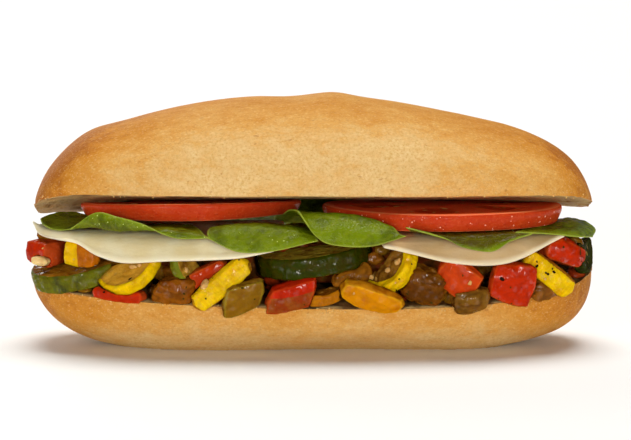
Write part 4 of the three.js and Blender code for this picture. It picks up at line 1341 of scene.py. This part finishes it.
def chunk_lumps(draw):
    lumps = {kind: [] for kind in CHUNK_KINDS}
    taken = []
    for place, up, name in side_hits(draw, CHUNK_RAYS, CHUNK_HEIGHTS):
        inside = abs(place[1]) < float(half_width(place[0])) - LEDGE
        on_bread = name == "bun_lower" and up[2] > 0.5 and inside
        near = any(np.linalg.norm(place - other) < CHUNK_SPACING for other in taken)
        if near or not (name == "vegetable_core" or on_bread):
            continue
        taken.append(place)
        size = np.array([draw.uniform(*CHUNK_SIZE) for _ in range(3)])
        lumps[draw.choice(CHUNK_KINDS)].append((place, size, up))
    lumps[END_CHUNK_KIND].append((*END_CHUNK, (0, 0, 1)))
    return lumps


def add_chunks():
    for kind, lumps in chunk_lumps(random.Random(CHUNK_SEED)).items():
        name = f"{kind}_chunks"
        strew(name, kind, vegetable_looks(name), lumps, CHUNK_ROUGHNESS)


def plain_looks(name, rgb, gloss):
    """One colour with darker spots, under more or less oil."""
    paint = Paint(name, Roughness=0.5, Subsurface_Weight=0.2, Subsurface_Scale=0.001)
    paint.oiled(gloss, 0.1)
    shade = paint.noise(paint.place(), 0.7, 2)
    paint.set("Base Color", paint.blend(shade, colour(rgb), colour(darker(rgb, 0.72))))
    return paint.material


# Bits of garlic and peppercorn seen in the photograph: their pixel and half sizes in millimetres.
GARLIC_BITS = [
    ((134, 267), (1.6, 1, 0.6)), ((140, 265), (0.9, 0.8, 0.5)), ((205, 285), (1.7, 1.2, 1)),
    ((398, 262), (1.4, 1.1, 0.7)), ((388, 270), (1.1, 0.9, 0.6)), ((371, 277), (0.9, 0.8, 0.6)),
    ((186, 270), (1, 0.8, 0.5)), ((470, 283), (0.8, 0.6, 0.4)),
]
PEPPERCORNS = [
    ((537, 266), (0.6, 0.5, 0.4)), ((554, 272), (0.6, 0.4, 0.3)), ((548, 274), (0.4, 0.4, 0.3)),
    ((130, 279), (0.7, 0.3, 0.2)), ((104, 292), (0.5, 0.3, 0.2)), ((502, 279), (0.8, 0.6, 0.4)),
]
VEGETABLES = tuple(kind for kind in KINDS if kind != "garlic")
DRESSING_HEIGHTS = (14, 42)
DRESSING_SEED = 20
BIT_ROUGHNESS = 0.5
# Dressing strewn over the open sides: its rays, half sizes from and to, flatness, colour and oil.
DRESSING = {
    "garlic": {"rays": 20, "size": (0.25, 0.5), "flat": 0.6, "rgb": (222, 180, 110), "gloss": 0.6},
    "peppercorn": {"rays": 36, "size": (0.1, 0.2), "flat": 0.6, "rgb": (36, 22, 10), "gloss": 0.1},
    "herb": {"rays": 90, "size": (0.2, 0.45), "flat": 0.3, "rgb": (62, 56, 12), "gloss": 0.2},
}
# Drops of water: their rays, the pieces they lie on, half sizes from and to, and their colour, paler than the
# surface under them as a painted highlight.
DEW_AND_GLINTS = {
    "tomato": {"rays": 520, "on": ("tomato_right",), "size": (0.13, 0.32), "rgb": (240, 164, 134)},
    "spinach": {"rays": 700, "on": ("leaf_left", "leaf_middle"), "size": (0.1, 0.22), "rgb": (196, 210, 104)},
}
DEW_HEIGHTS = (36, 50)
DEW_SEED = 31
CRUMB_RAYS = 300
CRUMB_SIZE = (0.14, 0.36)
CRUMB_SEED = 41
LOOSE_CRUMB = (244, 206, 134)


def lump_at(place, up, size):
    """A lump lying on a surface and partly sunk in."""
    return place + up * size[2] * STAND_OUT, np.array(size), up


def marked_lumps(marks):
    """The lumps at the marked pixels."""
    hits = [(seen_at(pixel), size) for pixel, size in marks]
    return [lump_at(hit[0], hit[1], size) for hit, size in hits if hit is not None]


def strewn_lumps(draw, rays, size, flat):
    lumps = []
    for place, up, name in side_hits(draw, rays, DRESSING_HEIGHTS):
        if name.startswith(VEGETABLES):
            long, wide = draw.uniform(*size), draw.uniform(*size)
            lumps.append(lump_at(place, up, (long, wide, flat * min(long, wide))))
    return lumps


def add_dressing():
    marks = {"garlic": GARLIC_BITS, "peppercorn": PEPPERCORNS}
    for number, (kind, values) in enumerate(DRESSING.items()):
        draw = random.Random(DRESSING_SEED + number)
        lumps = marked_lumps(marks.get(kind, []))
        lumps += strewn_lumps(draw, values["rays"], values["size"], values["flat"])
        name = f"{kind}_bits"
        slot = "garlic" if kind == "garlic" else None
        strew(name, slot, plain_looks(name, values["rgb"], values["gloss"]), lumps, BIT_ROUGHNESS)


def add_dew():
    draw = random.Random(DEW_SEED)
    for slot, values in DEW_AND_GLINTS.items():
        lumps = []
        for place, up, name in side_hits(draw, values["rays"], DEW_HEIGHTS):
            if name in values["on"] and abs(up[2]) < 0.7:
                size = draw.uniform(*values["size"])
                lumps.append((place, np.array([size, size, size * 0.5]), up))
        # Painted highlight: each drop is coloured pale for the shine of a real drop.
        paint = Paint(f"{slot}_dew", Base_Color=colour(values["rgb"]), Roughness=0.2)
        paint.oiled(1, 0.03)
        strew(f"{slot}_dew", slot, paint.material, lumps, 0)


def add_crumbs():
    """Crumbs along the cut edges of the roll."""
    draw = random.Random(CRUMB_SEED)
    lumps = []
    for number in range(CRUMB_RAYS):
        x, side = draw.uniform(-98, 98), draw.choice((-1, 1))
        y = side * float(half_width(x))
        cut, outwards = (upper_cut, 1) if number % 3 == 0 else (lower_cut, -1)
        z = float(cut(x, y)) + draw.uniform(-0.5, 1.5) * outwards
        hit = first_hit(np.array([x * 1.1, y * 2, z]), (-0.1 * x, -y, 0))
        if hit is not None and hit[2].startswith("bun"):
            size = [draw.uniform(*CRUMB_SIZE) for _ in range(3)]
            lumps.append(lump_at(hit[0], hit[1], size))
    strew("crumbs", "crust", plain_looks("crumbs", LOOSE_CRUMB, 0), lumps, BIT_ROUGHNESS)


add_chunks()
add_dressing()
add_dew()
add_crumbs()


# Floor, light and camera

FLOOR_HALF = 9
FLOOR_COLOUR = (250, 252, 255)
# Each lamp is a far one: where it stands as seen from the sandwich, its strength and its width in degrees.
LAMPS = {
    "overhead": {"from": (0.05, 0.25, 1), "strength": 2.9, "wide": 40},
    "front right": {"from": (0.3, -1, 0.12), "strength": 1.15, "wide": 18},
    "front left": {"from": (-0.4, -1, 0.14), "strength": 0.95, "wide": 16},
    "back": {"from": (-0.4, 1, 0.4), "strength": 0.7, "wide": 40},
}
LAMP_COLOUR = (1, 0.96, 0.89)
SKY_LIGHT = 0.08
HORIZON_LIGHT = 0.4
SKY_COLOUR = (0.9, 0.95, 1, 1)
SKY_FADE = (0.08, 0.3)  # the heights between which the horizon's light fades to the sky's


def make_floor():
    mesh = bpy.data.meshes.new("floor")
    corners = [(-1, -1, 0), (1, -1, 0), (1, 1, 0), (-1, 1, 0)]
    mesh.from_pydata([(x * FLOOR_HALF, y * FLOOR_HALF, z) for x, y, z in corners], [], [(0, 1, 2, 3)])
    mesh.materials.append(Paint("floor", Roughness=0.7, Base_Color=colour(FLOOR_COLOUR)).material)
    floor = bpy.data.objects.new("floor", mesh)
    scene.collection.objects.link(floor)


def make_lamps():
    for name, values in LAMPS.items():
        light = bpy.data.lights.new(name, "SUN")
        light.angle = math.radians(values["wide"])
        light.energy = values["strength"]
        light.color = LAMP_COLOUR
        lamp = bpy.data.objects.new(name, light)
        lamp.rotation_euler = Vector(values["from"]).to_track_quat("Z", "Y").to_euler()
        scene.collection.objects.link(lamp)


def make_sky():
    world = bpy.data.worlds.new("studio")
    world.use_nodes = True
    sky = Nodes(world.node_tree)
    direction = sky.add("ShaderNodeTexCoord", {}, "Generated")
    height = sky.add("ShaderNodeSeparateXYZ", {"Vector": direction}, "Z")
    fade = {"From Min": SKY_FADE[0], "From Max": SKY_FADE[1], "To Min": HORIZON_LIGHT, "To Max": SKY_LIGHT}
    background = world.node_tree.nodes["Background"]
    sky.put(background.inputs["Color"], SKY_COLOUR)
    sky.put(background.inputs["Strength"], sky.add("ShaderNodeMapRange", {"Value": height, **fade}, "Result"))
    scene.world = world


def make_camera():
    data = bpy.data.cameras.new("camera")
    data.sensor_width = SENSOR_WIDTH
    data.lens = SENSOR_WIDTH * CAMERA_DISTANCE * PIXELS_PER_MM / IMAGE_WIDTH
    camera = bpy.data.objects.new("camera", data)
    camera.location = (CAMERA_AIM + SHIFT + VIEW_BACK * CAMERA_DISTANCE) * MM
    camera.rotation_euler = Vector(-VIEW_BACK).to_track_quat("-Z", "Y").to_euler()
    scene.collection.objects.link(camera)
    scene.camera = camera


make_floor()
make_lamps()
make_sky()
make_camera()
scene.view_settings.view_transform = "Standard"
